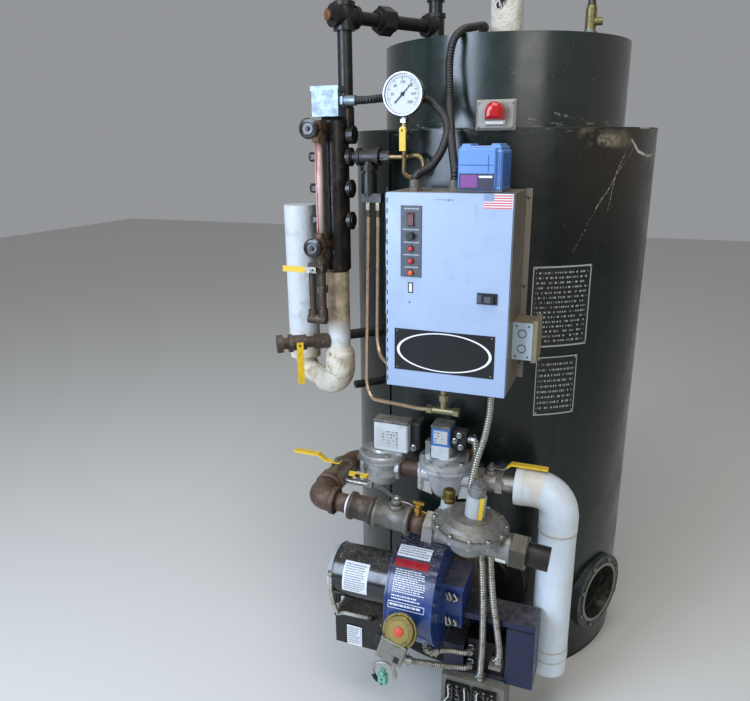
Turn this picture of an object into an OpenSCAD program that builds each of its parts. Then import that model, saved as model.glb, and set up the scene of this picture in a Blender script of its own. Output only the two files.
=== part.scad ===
// Vertical gas-fired steam boiler with its burner, gas train, water column and control cabinet.
// Frame: the origin is on the floor under the boiler's axis, +Z is up, the cabinet faces -Y.

/* [Casing] */
// Outer radius of the lower casing
casing_r = 381; // [360:1:384]
// Height of the shoulder above the floor
shoulder_z = 1390; // [1340:1:1395]
// Outer radius of the upper casing
upper_r = 303; // [290:1:315]
// Height of the top plate's upper face
top_z = 1587; // [1560:1:1600]
// Thickness of the jacket sheet
sheet = 3; // [2:0.5:4]
// Thickness of the base plate on the floor
base_t = 12; // [8:1:16]
// Thickness of the insulation between the pressure vessel and the upper casing
insulation_t = 14; // [10:1:24]
// Thickness of the pressure vessel's plate
vessel_t = 10; // [8:1:14]
// Width of the strip over the jacket's seam
seam_w = 22; // [16:1:30]

/* [Ports] */
// Direction of the access port, in degrees right of the front
port_az = 64; // [60:1:68]
// Height of the access port's centre
port_z = 183; // [165:1:190]
// Outer radius of the access port's liner
port_r = 78; // [60:1:80]
// Width of the access port's flange ring
port_rim = 27; // [20:1:32]
// Height of the flue collar's centre
flue_z = 1240; // [1200:1:1260]
// Bore radius of the flue collar
flue_r = 76; // [70:1:90]
// Length of the flue collar behind the casing
flue_len = 70; // [50:1:90]

/* [Top fittings] */
// Outer radius of the steam pipe
steam_r = 30; // [24:1:32]
// Wall of the steam pipe
steam_wall = 4; // [3:0.5:6]
// Thickness of the lagging round the steam pipe
steam_lag = 11; // [8:1:14]
// Height of the steam pipe above the top plate
steam_h = 165; // [150:1:200]
// Distance of the safety valve from the axis
safety_x = 204; // [190:1:215]
// Radius of the safety valve's body
safety_r = 13; // [11:0.5:16]
// Centre of the top tee, right of the axis
tee_x = -143; // [-160:1:-130]
// Centre of the top tee, along Y
tee_y = -145; // [-160:1:-130]
// Height of the pipe that joins the tee and the water column
cross_z = 1627; // [1620:1:1640]
// Radius of the small black pipes
pipe_r = 16.5; // [14:0.5:17]

/* [Water column] */
// Centre of the water column, right of the axis
column_x = -307; // [-320:1:-304]
// Centre of the water column, along Y
column_y = -385; // [-395:1:-382]
// Radius of the water column
column_r = 32; // [30:0.5:34]
// Lower end of the water column
column_z = 1066; // [1055:1:1075]
// Length of the water column
column_h = 352; // [340:1:358]
// Radius of the lagging round the balance pipe
balance_r = 27; // [24:1:29]
// Radius of the lagging round the return riser
riser_lag_r = 40; // [36:1:43]
// Distance between the balance pipe and the return riser
riser_gap = 148; // [140:1:155]
// Turn of the return pipe behind the column, in degrees
loop_turn = 27; // [20:1:32]

/* [Gauge] */
// Centre of the pressure gauge, right of the axis
gauge_x = -130; // [-136:1:-124]
// Radius of the pressure gauge's bezel
gauge_r = 46; // [42:0.5:48]
// Depth of the pressure gauge's case
gauge_d = 36; // [30:1:42]
// Height of the pressure gauge's centre
gauge_z = 1460; // [1455:1:1475]
// Outer radius of the siphon tube
siphon_r = 5; // [4:0.5:6]
// Radius of the siphon's loop
siphon_loop = 24; // [20:1:28]

/* [Cabinet] */
// Centre of the control cabinet, right of the axis
cab_x = 15; // [5:1:20]
// Width of the control cabinet
cab_w = 254; // [240:1:262]
// Height of the control cabinet
cab_h = 406; // [400:1:420]
// Lower edge of the control cabinet
cab_z = 861; // [855:1:870]
// Distance of the door's face in front of the axis
cab_front = 572; // [565:1:585]
// Depth of the cabinet's box behind the door
cab_d = 140; // [125:1:145]
// Thickness of the cabinet's sheet
cab_t = 2; // [1.5:0.5:3]
// Depth of the door's pan
door_d = 18; // [14:1:20]
// Gap between the door and the box
door_gap = 0.3; // [0.2:0.1:1]

/* [Gas train] */
// Height of the gas pipes
gas_z = 602; // [595:1:610]
// Distance of the rear gas run in front of the axis
rear_y = 440; // [438:1:445]
// Distance of the front gas run in front of the axis
front_y = 645; // [640:1:655]
// Centre of the left valve, right of the axis
left_x = -250; // [-256:1:-246]
// Centre of the first gas valve, right of the axis
valve_1_x = -172; // [-174:1:-168]
// Centre of the second gas valve, right of the axis
valve_2_x = -8; // [-12:1:-6]
// Centre of the right ball valve, right of the axis
ball_x = 98; // [94:1:102]
// Centre of the jacketed gas riser, right of the axis
gas_riser_x = 256; // [252:1:262]
// Radius of the gas pipes
gas_r = 21; // [19:0.5:22]
// Radius of the riser's plastic jacket
jacket_r = 43; // [40:0.5:43.5]
// Dip of the front run towards its right end, in degrees
run_dip = 5; // [4:0.5:6]
// Place of the regulator along the front run
reg_s = 347; // [345:1:352]
// Radius of the regulator's diaphragm case
reg_r = 80; // [74:1:82]

/* [Burner] */
// Distance of the blower's axis in front of the boiler's axis
blower_y = 548; // [545:1:552]
// Height of the blower's axis
blower_z = 355; // [350:1:358]
// Radius of the blower housing
blower_r = 122; // [118:1:123]
// Width of the blower housing
blower_w = 111; // [108:1:114]
// Left side of the blower housing, right of the axis
blower_x = -86; // [-88:1:-84]
// Radius of the motor
motor_r = 65; // [60:1:67]
// Length of the motor
motor_len = 176; // [165:1:180]
// Centre of the blast tube, right of the axis
blast_x = 70; // [66:1:76]
// Height of the blast tube's centre
blast_z = 300; // [296:1:306]
// Radius of the blast tube
blast_r = 78; // [74:1:82]
// Distance of the burner panel's front in front of the axis
panel_front = 560; // [555:1:565]
// Distance of the burner panel's back in front of the axis
panel_back = 484; // [483.5:0.5:487]
// Upper edge of the burner panel
panel_top = 320; // [310:1:326]
// Lower edge of the burner panel
panel_low = 150; // [146:1:154]

/* [Hidden] */
$fn = 64;
gap = 0.3;
hole_gap = 2;
inner_r = upper_r - sheet;
vessel_r = inner_r - insulation_t;
casing_top = shoulder_z - sheet;
cab_left = cab_x - cab_w / 2;
cab_right = cab_x + cab_w / 2;
cab_top = cab_z + cab_h;
cab_box_y = -cab_front + door_d + door_gap;
cab_back_y = cab_box_y + cab_d;
column_top = column_z + column_h;
flex_r = 9;
// The front pieces are drawn against a casing of this radius and keep to its front
front_r = 381;
front_shift = front_r - casing_r;
module at_front() translate([0, front_shift, 0]) children();
function moved(pts) = [for (p = pts) p + [0, front_shift, 0]];

// A cylinder along X, Y or Z from its start
module bar_x(x, y, z, len, r) translate([x, y, z]) rotate([0, 90, 0]) cylinder(h = len, r = r);
module bar_y(x, y, z, len, r) translate([x, y, z]) rotate([-90, 0, 0]) cylinder(h = len, r = r);
module bar_z(x, y, z, len, r) translate([x, y, z]) cylinder(h = len, r = r);

// A hexagon along X, Y or Z from its start, r is to the corners
module hex_x(x, y, z, len, r) translate([x, y, z]) rotate([0, 90, 0]) cylinder(h = len, r = r, $fn = 6);
module hex_y(x, y, z, len, r) translate([x, y, z]) rotate([-90, 0, 0]) cylinder(h = len, r = r, $fn = 6);
module hex_z(x, y, z, len, r) translate([x, y, z]) cylinder(h = len, r = r, $fn = 6);

// Turns a piece that is built at the front to a direction, in degrees right of the front
module toward(az) rotate([0, 0, az]) children();

// A box given by its lowest corner and its highest corner
module block(a, b) translate(a) cube(b - a);

function unit(v) = v / norm(v);
function bend_normal(u, w) = unit(w - u * (u * w));
function bend_angle(a, b, c) = acos(max(-1, min(1, unit(b - a) * unit(c - b))));
function trim_len(a, b, c, r) = r * tan(bend_angle(a, b, c) / 2);

// A round bar from point a to point b
module rod(a, b, r) {
    v = b - a;
    translate(a) rotate([0, acos(v.z / norm(v)), atan2(v.y, v.x)]) cylinder(h = norm(v), r = r);
}

// A quarter or part of a ring that leaves point s along u and turns towards n
module bend(s, u, n, turn, angle, r) {
    k = cross(-n, u);
    o = s + n * turn;
    multmatrix([[-n.x, u.x, k.x, o.x], [-n.y, u.y, k.y, o.y], [-n.z, u.z, k.z, o.z], [0, 0, 0, 1]])
        rotate_extrude(angle = angle) translate([turn, 0]) circle(r = r);
}

// A tube that follows points with round bends between straight stretches
module bent_bar(pts, r, turn) {
    last = len(pts) - 1;
    for (i = [0 : last - 1]) {
        u = unit(pts[i + 1] - pts[i]);
        cut_a = i == 0 ? 0 : trim_len(pts[i - 1], pts[i], pts[i + 1], turn);
        cut_b = i == last - 1 ? 0 : trim_len(pts[i], pts[i + 1], pts[i + 2], turn);
        rod(pts[i] + u * cut_a, pts[i + 1] - u * cut_b, r);
        if (i < last - 1) {
            w = unit(pts[i + 2] - pts[i + 1]);
            bend(pts[i + 1] - u * cut_b, u, bend_normal(u, w), turn,
                 bend_angle(pts[i], pts[i + 1], pts[i + 2]), r);
        }
    }
}

// Points of a route whose corners are rounded by cut-off curves
function corner(a, b, c, turn, steps) = let(
    cut = min(turn, norm(b - a) / 2.1, norm(c - b) / 2.1),
    p = b + unit(a - b) * cut,
    q = b + unit(c - b) * cut)
    [for (i = [0 : steps]) let(t = i / steps) p * (1 - t) * (1 - t) + b * 2 * t * (1 - t) + q * t * t];
function route(pts, turn, steps = 5) = concat(
    [pts[0]],
    [for (i = [1 : len(pts) - 2]) each corner(pts[i - 1], pts[i], pts[i + 1], turn, steps)],
    [pts[len(pts) - 1]]);
function heading(path, i) = unit(path[min(i + 1, len(path) - 1)] - path[max(i - 1, 0)]);
function carried(n, t) = unit(n - t * (n * t));

// A flexible tube that follows a route, as one closed solid with flat ends
module flex_tube(pts, r, turn, sides = 8) {
    path = route(pts, turn);
    last = len(path) - 1;
    first_t = unit(path[1] - path[0]);
    side_ref = abs(first_t.x) < 0.7 ? [1, 0, 0] : [0, 0, 1];
    normals = [for (i = 0, n = carried(side_ref, first_t); i <= last;
                    i = i + 1, n = carried(n, heading(path, min(i, last)))) n];
    rings = [for (i = [0 : last]) let(t = heading(path, i), n = carried(normals[i], t), m = cross(t, n))
        each [for (k = [0 : sides - 1]) path[i] + (n * cos(360 * k / sides) + m * sin(360 * k / sides)) * r]];
    walls = [for (i = [0 : last - 1], k = [0 : sides - 1]) let(j = (k + 1) % sides)
        [i * sides + k, (i + 1) * sides + k, (i + 1) * sides + j, i * sides + j]];
    polyhedron(points = rings, faces = concat(
        [[for (k = [0 : sides - 1]) k]],
        walls,
        [[for (k = [0 : sides - 1]) last * sides + sides - 1 - k]]), convexity = 8);
}

// The space that the lower casing takes, with a little clearance
module casing_space() cylinder(h = shoulder_z + gap, r = casing_r + gap, $fn = 720);
module casing_behind() translate([0, -front_shift, 0]) casing_space();

port_reach = 40;
module port_hole(r) toward(port_az) bar_y(0, -casing_r - port_reach, port_z, 130, r);
module flue_hole(r) bar_y(0, vessel_r - 40, flue_z, casing_r - vessel_r + 80, r);
module blast_hole(r) bar_y(blast_x, -casing_r - 40, blast_z, casing_r + 40 - vessel_r / 2, r);

module base_plate() color("#2b2f2c") cylinder(h = base_t, r = casing_r - 2);

module lower_casing() color("#20332f") difference() {
    translate([0, 0, base_t]) cylinder(h = casing_top - base_t, r = casing_r);
    translate([0, 0, base_t - 1]) cylinder(h = casing_top, r = casing_r - sheet);
    port_hole(port_r + hole_gap);
    flue_hole(flue_r + sheet + gap);
    blast_hole(blast_r + hole_gap);
}

module shoulder_plate() color("#22352f") difference() {
    translate([0, 0, casing_top]) cylinder(h = sheet, r = casing_r);
    translate([0, 0, casing_top - 1]) cylinder(h = sheet + 2, r = inner_r);
}

module upper_casing() color("#20332f") difference() {
    translate([0, 0, shoulder_z]) cylinder(h = top_z - sheet - shoulder_z, r = upper_r);
    translate([0, 0, shoulder_z - 1]) cylinder(h = top_z, r = inner_r);
}

// Place of the fitting in which the probe's conduit ends, behind the steam pipe
probe_x = -20;
probe_y = 90;
probe_h = 20;
module top_plate() color("#1f2f2b") {
    difference() {
        translate([0, 0, top_z - sheet]) cylinder(h = sheet, r = upper_r);
        bar_z(0, 0, top_z - sheet - 1, sheet + 2, steam_r + gap);
    }
    hex_z(probe_x, probe_y, top_z - 1, probe_h + 1, flex_r + 4);
}

head_gap = 20;
vessel_top = top_z - sheet - head_gap;
module pressure_vessel() color("#3a332c") difference() {
    union() {
        translate([0, 0, base_t]) cylinder(h = vessel_top - base_t, r = vessel_r);
        bar_z(0, 0, vessel_top - 1, top_z - sheet - vessel_top + 1, steam_r);
    }
    translate([0, 0, base_t - 1]) cylinder(h = vessel_top - vessel_t - base_t + 1, r = vessel_r - vessel_t);
    bar_z(0, 0, vessel_top - vessel_t - 1, 60, steam_r - steam_wall);
    blast_hole(blast_r + hole_gap);
    flue_hole(flue_r);
}

// The seam stays as far left of the axis as the feed pipe beside it does
seam_x = -front_r * sin(32);
module seam_strip() color("#273a35") toward(asin(seam_x / casing_r)) difference() {
    block([-seam_w / 2, -casing_r - sheet, base_t], [seam_w / 2, -casing_r + 2, casing_top]);
    casing_space();
}

port_flange = 12;
port_liner = 60;
module access_ring() color("#26302d") toward(port_az) difference() {
    union() {
        bar_y(0, -casing_r - port_flange, port_z, 30, port_r + port_rim);
        bar_y(0, -casing_r - port_flange - 3, port_z, 20, port_r + 6);
        bar_y(0, -casing_r, port_z, port_liner, port_r + gap);
    }
    bar_y(0, -casing_r - port_reach, port_z, 130, port_r - sheet);
    difference() {
        cylinder(h = shoulder_z, r = casing_r + gap);
        bar_y(0, -casing_r - port_reach, port_z, 130, port_r + gap);
    }
}

bead = 5;
module flue_collar() color("#5b5d5a") difference() {
    union() {
        bar_y(0, vessel_r - 10, flue_z, casing_r - vessel_r + 10 + flue_len, flue_r + sheet);
        bar_y(0, casing_r + flue_len - 4 * bead, flue_z, bead, flue_r + sheet + 3);
        bar_y(0, casing_r + flue_len - bead, flue_z, bead, flue_r + sheet + 2);
    }
    bar_y(0, vessel_r - 20, flue_z, casing_r - vessel_r + 40 + flue_len, flue_r);
    cylinder(h = shoulder_z, r = vessel_r + gap);
}

plate_t = 14;
burner_flange_r = blast_r + 34;
module burner_plate() color("#1c1f1e") difference() {
    bar_y(blast_x, -casing_r - plate_t, blast_z, 60, burner_flange_r);
    bar_y(blast_x, -casing_r - plate_t - 6, blast_z, 100, blast_r + gap);
    casing_space();
}

head_y = front_r + plate_t;
blower_right = blower_x + blower_w;
// The air box between the blower and the blast tube, and the transformer in front of it
air_front = 480;
air_right = 80;
air_low = 240;
air_top = 430;
coil_front = 580;
coil_right = 71;
coil_low = 290;
coil_top = 400;
module burner_head() color("#24408f") at_front() {
    difference() {
        bar_y(blast_x, -head_y - 10, blast_z, 160, blast_r);
        bar_y(blast_x, -head_y + 20, blast_z, 150, blast_r - 5);
    }
    block([blower_right + gap, -air_front, air_low], [air_right, -head_y - 1, air_top]);
    block([blower_right + gap, -air_front - 3, air_top - 12], [air_right + 14, -head_y - 1, air_top]);
    block([blower_right + gap, -coil_front, coil_low], [coil_right, -air_front + 1, coil_top]);
    block([blower_right + gap, -coil_front - 2, coil_top - 10], [coil_right + 4, -air_front + 1, coil_top]);
}

rim_r = blower_r + 2;
rim_w = 4;
module blower_housing() color("#24408f") at_front() {
    bar_x(blower_x, -blower_y, blower_z, blower_w, blower_r);
    for (x = [blower_x, blower_right - rim_w])
        bar_x(x, -blower_y, blower_z, rim_w, rim_r);
}

motor_x = blower_x - motor_len;
bell_len = 20;
lead_y = -592;
lead_x = motor_x + 26;
module burner_motor() color("#1b1d20") at_front() {
    translate([motor_x, -blower_y, blower_z]) rotate([0, 90, 0]) rotate_extrude()
        polygon([[0, 0], [motor_r - 24, 0], [motor_r - 8, 5], [motor_r, bell_len], [motor_r, bell_len + 2],
                 [motor_r - 1, bell_len + 3], [motor_r - 1, motor_len - 16], [motor_r + 6, motor_len - 14],
                 [motor_r + 6, motor_len - gap], [0, motor_len - gap]]);
    bar_x(motor_x - 3, -blower_y, blower_z, 5, 17);
    bar_z(lead_x, lead_y, 292, 28, flex_r);
}

box_low = 182;
box_top = 265;
module ignition_box() color("#17181a") at_front() {
    block([-238, -600, box_low], [-112, -500, box_top - 3]);
    block([-240, -602, box_top - 9], [-110, -498, box_top]);
    block([-113, -590, box_top - 32], [blower_x - gap, -505, box_top - 4]);
}

// The round switch stands on a bracket in front of the blower, a small box leans below it
switch_x = -32;
switch_y = -712;
switch_z = 353;
switch_r = 39;
lean = 25;
module pressure_switch() color("#b59a55") at_front() {
    translate([switch_x, switch_y, switch_z]) rotate([-lean, 0, 0]) rotate([90, 0, 0]) rotate_extrude()
        polygon([[0, -14], [30, -14], [34, -8], [34, -3], [switch_r, -3], [switch_r, 4], [34, 4],
                 [32, 10], [12, 14], [0, 14]]);
    translate([-58, -700, 293]) rotate([0, lean, 0]) block([-27, -17, -25], [27, 17, 25]);
    difference() {
        block([-62, -706, 300], [-14, -640, 308]);
        bar_x(blower_x - 1, -blower_y, blower_z, blower_w + 2, rim_r + gap);
    }
}

relay_top = panel_low - gap;
device_left = 80;
device_right = 168;
device_front = 545;
device_top = 240;
clamp_x = 152;
clamp_z = 206;
// Open sheet panel with a cover over its right third
panel_left = coil_right + 1;
panel_right = 236;
cover_left = 172;
cover_top = 300;
module burner_cabinet() color("#22397c") at_front() {
    block([panel_left, -panel_back - sheet, panel_low], [panel_right, -panel_back, panel_top]);
    block([panel_left, -panel_front, panel_top - sheet], [panel_right, -panel_back, panel_top]);
    block([panel_left, -panel_front, panel_top - 14], [panel_right, -panel_front + sheet, panel_top]);
    block([panel_right - sheet, -panel_front, panel_low], [panel_right, -panel_back, panel_top]);
    block([cover_left, -panel_front, panel_low], [panel_right, -panel_front + sheet, cover_top]);
    block([cover_left, -panel_front, panel_low], [cover_left + sheet, -panel_back, cover_top]);
    block([cover_left, -panel_front, cover_top - sheet], [panel_right, -panel_back, cover_top]);
    block([panel_left, -panel_front + 4, panel_low], [panel_right, -panel_back, panel_low + sheet]);
    block([blower_right + 1, -panel_front, panel_low], [panel_left + 2, -panel_back, 225]);
}

module relay_box() color("#6d7073") at_front() {
    block([27, -580, 25], [177, -500, relay_top]);
    block([40, -592, 40], [96, -579, relay_top - 12]);
    block([104, -592, 40], [160, -579, relay_top - 12]);
    block([device_left, -device_front, panel_low + sheet + gap],
          [device_right, -panel_back - sheet - gap, device_top]);
    block([clamp_x - 14, -device_front - 36, clamp_z - 8], [clamp_x + 14, -device_front + 1, clamp_z]);
}

riser_start = 156;
riser_foot = 131;
riser_turn = 52;
lap = 1.2;
module gas_riser() color("#dfe6ea") at_front() {
    bent_bar([[riser_start, -rear_y, gas_z], [gas_riser_x, -rear_y, gas_z],
              [gas_riser_x, -rear_y, riser_foot]], jacket_r, riser_turn);
    bar_z(gas_riser_x, -rear_y, gas_z - riser_turn - 42, 44, jacket_r + lap);
    bar_z(gas_riser_x, -rear_y, riser_foot + 40, 26, jacket_r + lap);
    bar_x(riser_start + gap, -rear_y, gas_z, 20, jacket_r + lap);
}

stem_r = 8;
stem_top = 35;
ball_w = 58;
module riser_valve() color("#a9a59c") at_front() {
    bar_x(ball_x - ball_w / 2, -rear_y, gas_z, ball_w, 25);
    hex_x(ball_x - ball_w / 2, -rear_y, gas_z, 15, 30);
    hex_x(ball_x + ball_w / 2 - 15, -rear_y, gas_z, 15, 30);
    bar_x(ball_x, -rear_y, gas_z, riser_start - ball_x - gap, gas_r);
    bar_z(ball_x, -rear_y, gas_z, stem_top - 6, 13);
    bar_z(ball_x, -rear_y, gas_z, stem_top, stem_r);
}

// A lever with a crank near its pin, which lies along local Z
module lever(len, rise) {
    difference() {
        union() {
            block([-9, -7, 0], [30, 7, 3]);
            hull() {
                block([27, -7, 0], [30, 7, 3]);
                block([44, -7, rise], [47, 7, rise + 3]);
            }
            block([44, -8, rise], [len, 8, rise + 5]);
        }
        translate([0, 0, -1]) cylinder(h = 6, r = 4.3);
    }
}

// A short flat lever on a small valve, from -8 to its end along local X
module small_lever(len, w, t, hole) difference() {
    block([-8, -w / 2, 0], [len, w / 2, t]);
    translate([0, 0, -1]) cylinder(h = t + 2, r = hole);
}

module riser_valve_lever() color("#e2c21c") at_front()
    translate([ball_x, -rear_y, gas_z + stem_top + gap]) lever(128, 14);

half_1 = 51;
module first_gas_valve() color("#b9bbba") at_front() {
    bar_x(valve_1_x - half_1, -rear_y, gas_z, 2 * half_1, 25);
    hex_x(valve_1_x - half_1, -rear_y, gas_z, 18, 32);
    hex_x(valve_1_x + half_1 - 18, -rear_y, gas_z, 18, 32);
    intersection() {
        block([valve_1_x - half_1, -rear_y - 60, gas_z - 50], [valve_1_x + half_1, -rear_y + 60, gas_z + 60]);
        translate([valve_1_x, -rear_y, gas_z]) rotate_extrude()
            polygon([[0, -41], [22, -41], [28, -36], [38, -22], [43, 0], [43, 16], [54, 20], [54, 32],
                     [30, 36], [20, 40], [20, 54], [0, 54]]);
    }
    block([-182, -475, gas_z + 50], [-98, -412, gas_z + 130]);
    block([-186, -479, gas_z + 124], [-94, -408, gas_z + 134]);
    block([-99, -452, gas_z + 54], [-74, -400, gas_z + 122]);
}

half_2 = 67.5;
side_2 = 52;
module second_gas_valve() color("#b3b5b4") at_front() {
    bar_x(valve_2_x - half_2, -rear_y, gas_z, 2 * half_2, 26);
    hex_x(valve_2_x - half_2, -rear_y, gas_z, 16, 34);
    hex_x(valve_2_x + half_2 - 16, -rear_y, gas_z, 16, 34);
    intersection() {
        translate([valve_2_x, -rear_y, gas_z]) rotate_extrude()
            polygon([[0, -56], [28, -56], [34, -50], [40, -30], [48, 8], [58, 36], [64, 40], [64, 50],
                     [58, 54], [36, 54], [30, 64], [0, 64]]);
        block([valve_2_x - 70, -rear_y - side_2, gas_z - 60], [valve_2_x + 70, -rear_y + side_2, gas_z + 70]);
    }
    block([-40, -472, gas_z + 63], [9, -408, gas_z + 132]);
    block([-42, -474, gas_z + 131], [11, -406, gas_z + 138]);
    block([8, -456, gas_z + 76], [44, -424, gas_z + 122]);
    block([43, -462, gas_z + 42], [47, -418, gas_z + 73]);
}

module rear_gas_pipe() color("#5e4a3c") at_front() {
    bar_x(valve_1_x + half_1 + gap, -rear_y, gas_z,
          valve_2_x - valve_1_x - half_1 - half_2 - 2 * gap, gas_r);
    bar_x(valve_2_x + half_2 + gap, -rear_y, gas_z,
          ball_x - ball_w / 2 - valve_2_x - half_2 - 2 * gap, gas_r);
    bent_bar([[valve_1_x - half_1 - gap, -rear_y, gas_z], [left_x, -rear_y, gas_z],
              [left_x, -500, gas_z]], gas_r + 3, 26);
    bar_x(valve_1_x - half_1 - gap - 9, -rear_y, gas_z, 9, gas_r + 9);
    bar_y(left_x, -500, gas_z, 11, gas_r + 9);
}

inlet_y = -542;
inlet_front = -585;
inlet_back = -500;
module inlet_valve() color("#8f8578") at_front() {
    bar_y(left_x, inlet_front, gas_z, inlet_back - inlet_front - gap, 28);
    hex_y(left_x, inlet_front, gas_z, 16, 33);
    hex_y(left_x, inlet_back - 16 - gap, gas_z, 16, 33);
    bar_z(left_x, inlet_y, gas_z, stem_top - 5, 14);
    bar_z(left_x, inlet_y, gas_z, stem_top, stem_r);
}

module inlet_valve_lever() color("#e2c21c") at_front()
    translate([left_x, inlet_y, gas_z + stem_top + gap]) rotate([0, 0, 180]) lever(110, 12);

// The front run leaves its elbow to the right and dips, s is measured along it
module dipped() translate([left_x, -front_y, gas_z]) rotate([0, run_dip, 0]) children();
function at_run(s, y, z) = [left_x + s * cos(run_dip) + z * sin(run_dip), -front_y + y,
                            gas_z - s * sin(run_dip) + z * cos(run_dip)];
// A malleable fitting along the run with a thick band at each end
module banded(s, len, r, band) {
    bar_x(s, 0, 0, len, r);
    bar_x(s, 0, 0, band, r + 4);
    bar_x(s + len - band, 0, 0, band, r + 4);
}

elbow_y = inlet_front + front_y - gap;
coupling_s = 72;
tee_s = 137;
tee_len = 83;
plug_s = 187;
reg_start = reg_s - 93;
module front_gas_pipe() color("#6b5a4c") at_front() dipped() {
    bent_bar([[0, elbow_y, 0], [0, 0, 0], [46, 0, 0]], 27, 32);
    bar_y(0, elbow_y - 12, 0, 12, 31);
    bar_x(34, 0, 0, 12, 31);
    bar_x(40, 0, 0, coupling_s - 39, gas_r);
    banded(coupling_s, tee_s - coupling_s + 1, 27, 10);
    banded(tee_s, tee_len, 28, 9);
    bar_z(plug_s, 0, 0, 40, 25);
    bar_z(plug_s, 0, 32, 9, 29);
    hex_z(plug_s, 0, 40, 14, 15);
    bar_x(tee_s + tee_len - 2, 0, 0, reg_start - tee_s - tee_len + 2 - gap, gas_r);
}

outlet_s = reg_s + 100;
nut_s = reg_s + 90;
nut_len = 33;
supply_s = nut_s + nut_len;
supply_len = 44;
supply_r = 25;
pan_z = 30;
module regulator() color("#a8aaab") at_front() dipped() {
    bar_x(reg_start, 0, 0, outlet_s - reg_start, 27);
    hex_x(reg_start, 0, 0, 22, 37);
    translate([reg_s, 0, 0]) rotate_extrude()
        polygon([[0, -34], [24, -34], [36, -24], [44, -4], [44, 8], [0, 8]]);
    translate([reg_s, 0, pan_z]) rotate_extrude()
        polygon([[0, -26], [44, -26], [58, -12], [70, -7], [reg_r, -6], [reg_r, 6], [72, 6], [66, 9],
                 [60, 16], [44, 24], [24, 27], [0, 27]]);
    bar_z(reg_s + 6, 0, pan_z + 20, 52, 20);
    bar_z(reg_s + 6, 0, pan_z + 70, 22, 17);
    hex_z(reg_s + 6, 0, pan_z + 91, 6, 14);
    bar_z(reg_s - 58, 25, pan_z - 2, 34, 14);
    hex_z(reg_s - 58, 25, pan_z + 32, 9, 12);
    bar_x(reg_s + 60, 0, 0, 40, 31);
    hex_x(nut_s, 0, 0, nut_len, 38);
    bar_x(supply_s - 1, 0, 0, supply_len + 1, supply_r);
}

pilot_y = -556;
pilot_x = left_x + 60;
tap_s = reg_start - 21;
module pilot_line() color("#d4a91b") at_front() {
    bar_x(left_x + 28 + gap, pilot_y, gas_z, 60, 7);
    bar_z(pilot_x, pilot_y, gas_z, 18, 5);
    block([pilot_x - 22, pilot_y - 4, gas_z + 16], [pilot_x + 22, pilot_y + 4, gas_z + 22]);
    hex_x(left_x + 84, pilot_y, gas_z, 12, 8);
    flex_tube([[left_x + 94, pilot_y, gas_z], [-130, -566, gas_z + 4], [-70, -608, gas_z + 2],
               at_run(reg_start - 54, 41, 14), at_run(reg_start - 15, 28, 10),
               at_run(reg_start - 2 * gap, 28, 10)], 3.5, 16);
    dipped() {
        bar_z(tap_s, 0, gas_r + gap, 26, 8);
        bar_y(tap_s, -12, gas_r + 16, 24, 5);
        block([tap_s - 12, -3, gas_r + 26], [tap_s + 12, 3, gas_r + 31]);
    }
}

hinge_x = cab_left - 4;
hinge_y = -cab_front + door_d;
knuckle_r = 4;
knuckle_len = 50;
// Every second knuckle of the long hinge, from knuckle number first
module knuckles(first, y_low, y_high)
    for (i = [first : 2 : 7]) {
        z = cab_z + 3 + i * knuckle_len;
        bar_z(hinge_x, hinge_y, z + gap, knuckle_len - 2 * gap, knuckle_r);
        block([hinge_x, hinge_y + y_low, z + gap], [cab_left + 1, hinge_y + y_high, z + knuckle_len - gap]);
    }

// Places of the conduit fittings on the cabinet
entry_b = [-67, -525];
entry_a = [9, -500];
entry_c = [101, -500];
entry_h = 22;
strip_y = -432;
strip_right = 155;
module cabinet_body() color("#b4bac4") at_front() {
    difference() {
        block([cab_left, cab_box_y, cab_z], [cab_right, cab_back_y, cab_top]);
        block([cab_left + cab_t, cab_box_y - 1, cab_z + cab_t],
              [cab_right - cab_t, cab_back_y - cab_t, cab_top - cab_t]);
    }
    knuckles(0, door_gap, knuckle_r);
    block([cab_right - 1, strip_y, cab_z + 2], [strip_right, strip_y + cab_t, cab_top + 3]);
    for (p = [entry_a, entry_b]) {
        bar_z(p.x, p.y, cab_top - 1, entry_h + 1, flex_r + 2);
        hex_z(p.x, p.y, cab_top - 1, 7, flex_r + 7);
    }
    bar_z(entry_c.x, entry_c.y, cab_z - entry_h, entry_h + 1, flex_r + 2);
    for (x = [cab_left + 40, cab_right - 60])
        difference() {
            block([x, cab_back_y, cab_z + 30], [x + 20, -front_r + 60, cab_top - 30]);
            casing_behind();
        }
}

module cabinet_door() color("#c3cad6") at_front() {
    difference() {
        block([cab_left, -cab_front, cab_z], [cab_right, -cab_front + door_d, cab_top]);
        block([cab_left + cab_t, -cab_front + cab_t, cab_z + cab_t],
              [cab_right - cab_t, -cab_front + door_d + 1, cab_top - cab_t]);
    }
    knuckles(1, -knuckle_r, 0);
}

panel_x = cab_left + 31;
panel_mid = panel_x + 22;
plate_y = -cab_front - 2;
module door_controls() color("#3a3c40") at_front() {
    block([panel_x, plate_y, cab_top - 168], [panel_x + 44, -cab_front - gap, cab_top - 25]);
    block([panel_mid - 7, plate_y - 5, cab_top - 64], [panel_mid + 7, plate_y + 1, cab_top - 41]);
    bar_y(panel_mid, plate_y - 11, cab_top - 85, 12, 7.5);
    for (z = [cab_top - 110, cab_top - 135, cab_top - 159])
        bar_y(panel_mid, plate_y - 6, z, 7, 5.5);
    block([cab_left + 191, -cab_front - 5, cab_z + 192], [cab_left + 232, -cab_front - gap, cab_z + 215]);
    block([cab_left + 196, -cab_front - 10, cab_z + 197], [cab_left + 227, -cab_front - 4, cab_z + 210]);
}

module side_box() color("#b9b7a8") at_front() {
    block([cab_right + gap, -510, 927], [183, -440, 1006]);
    block([182, -508, 922], [192, -442, 1011]);
}

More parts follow.
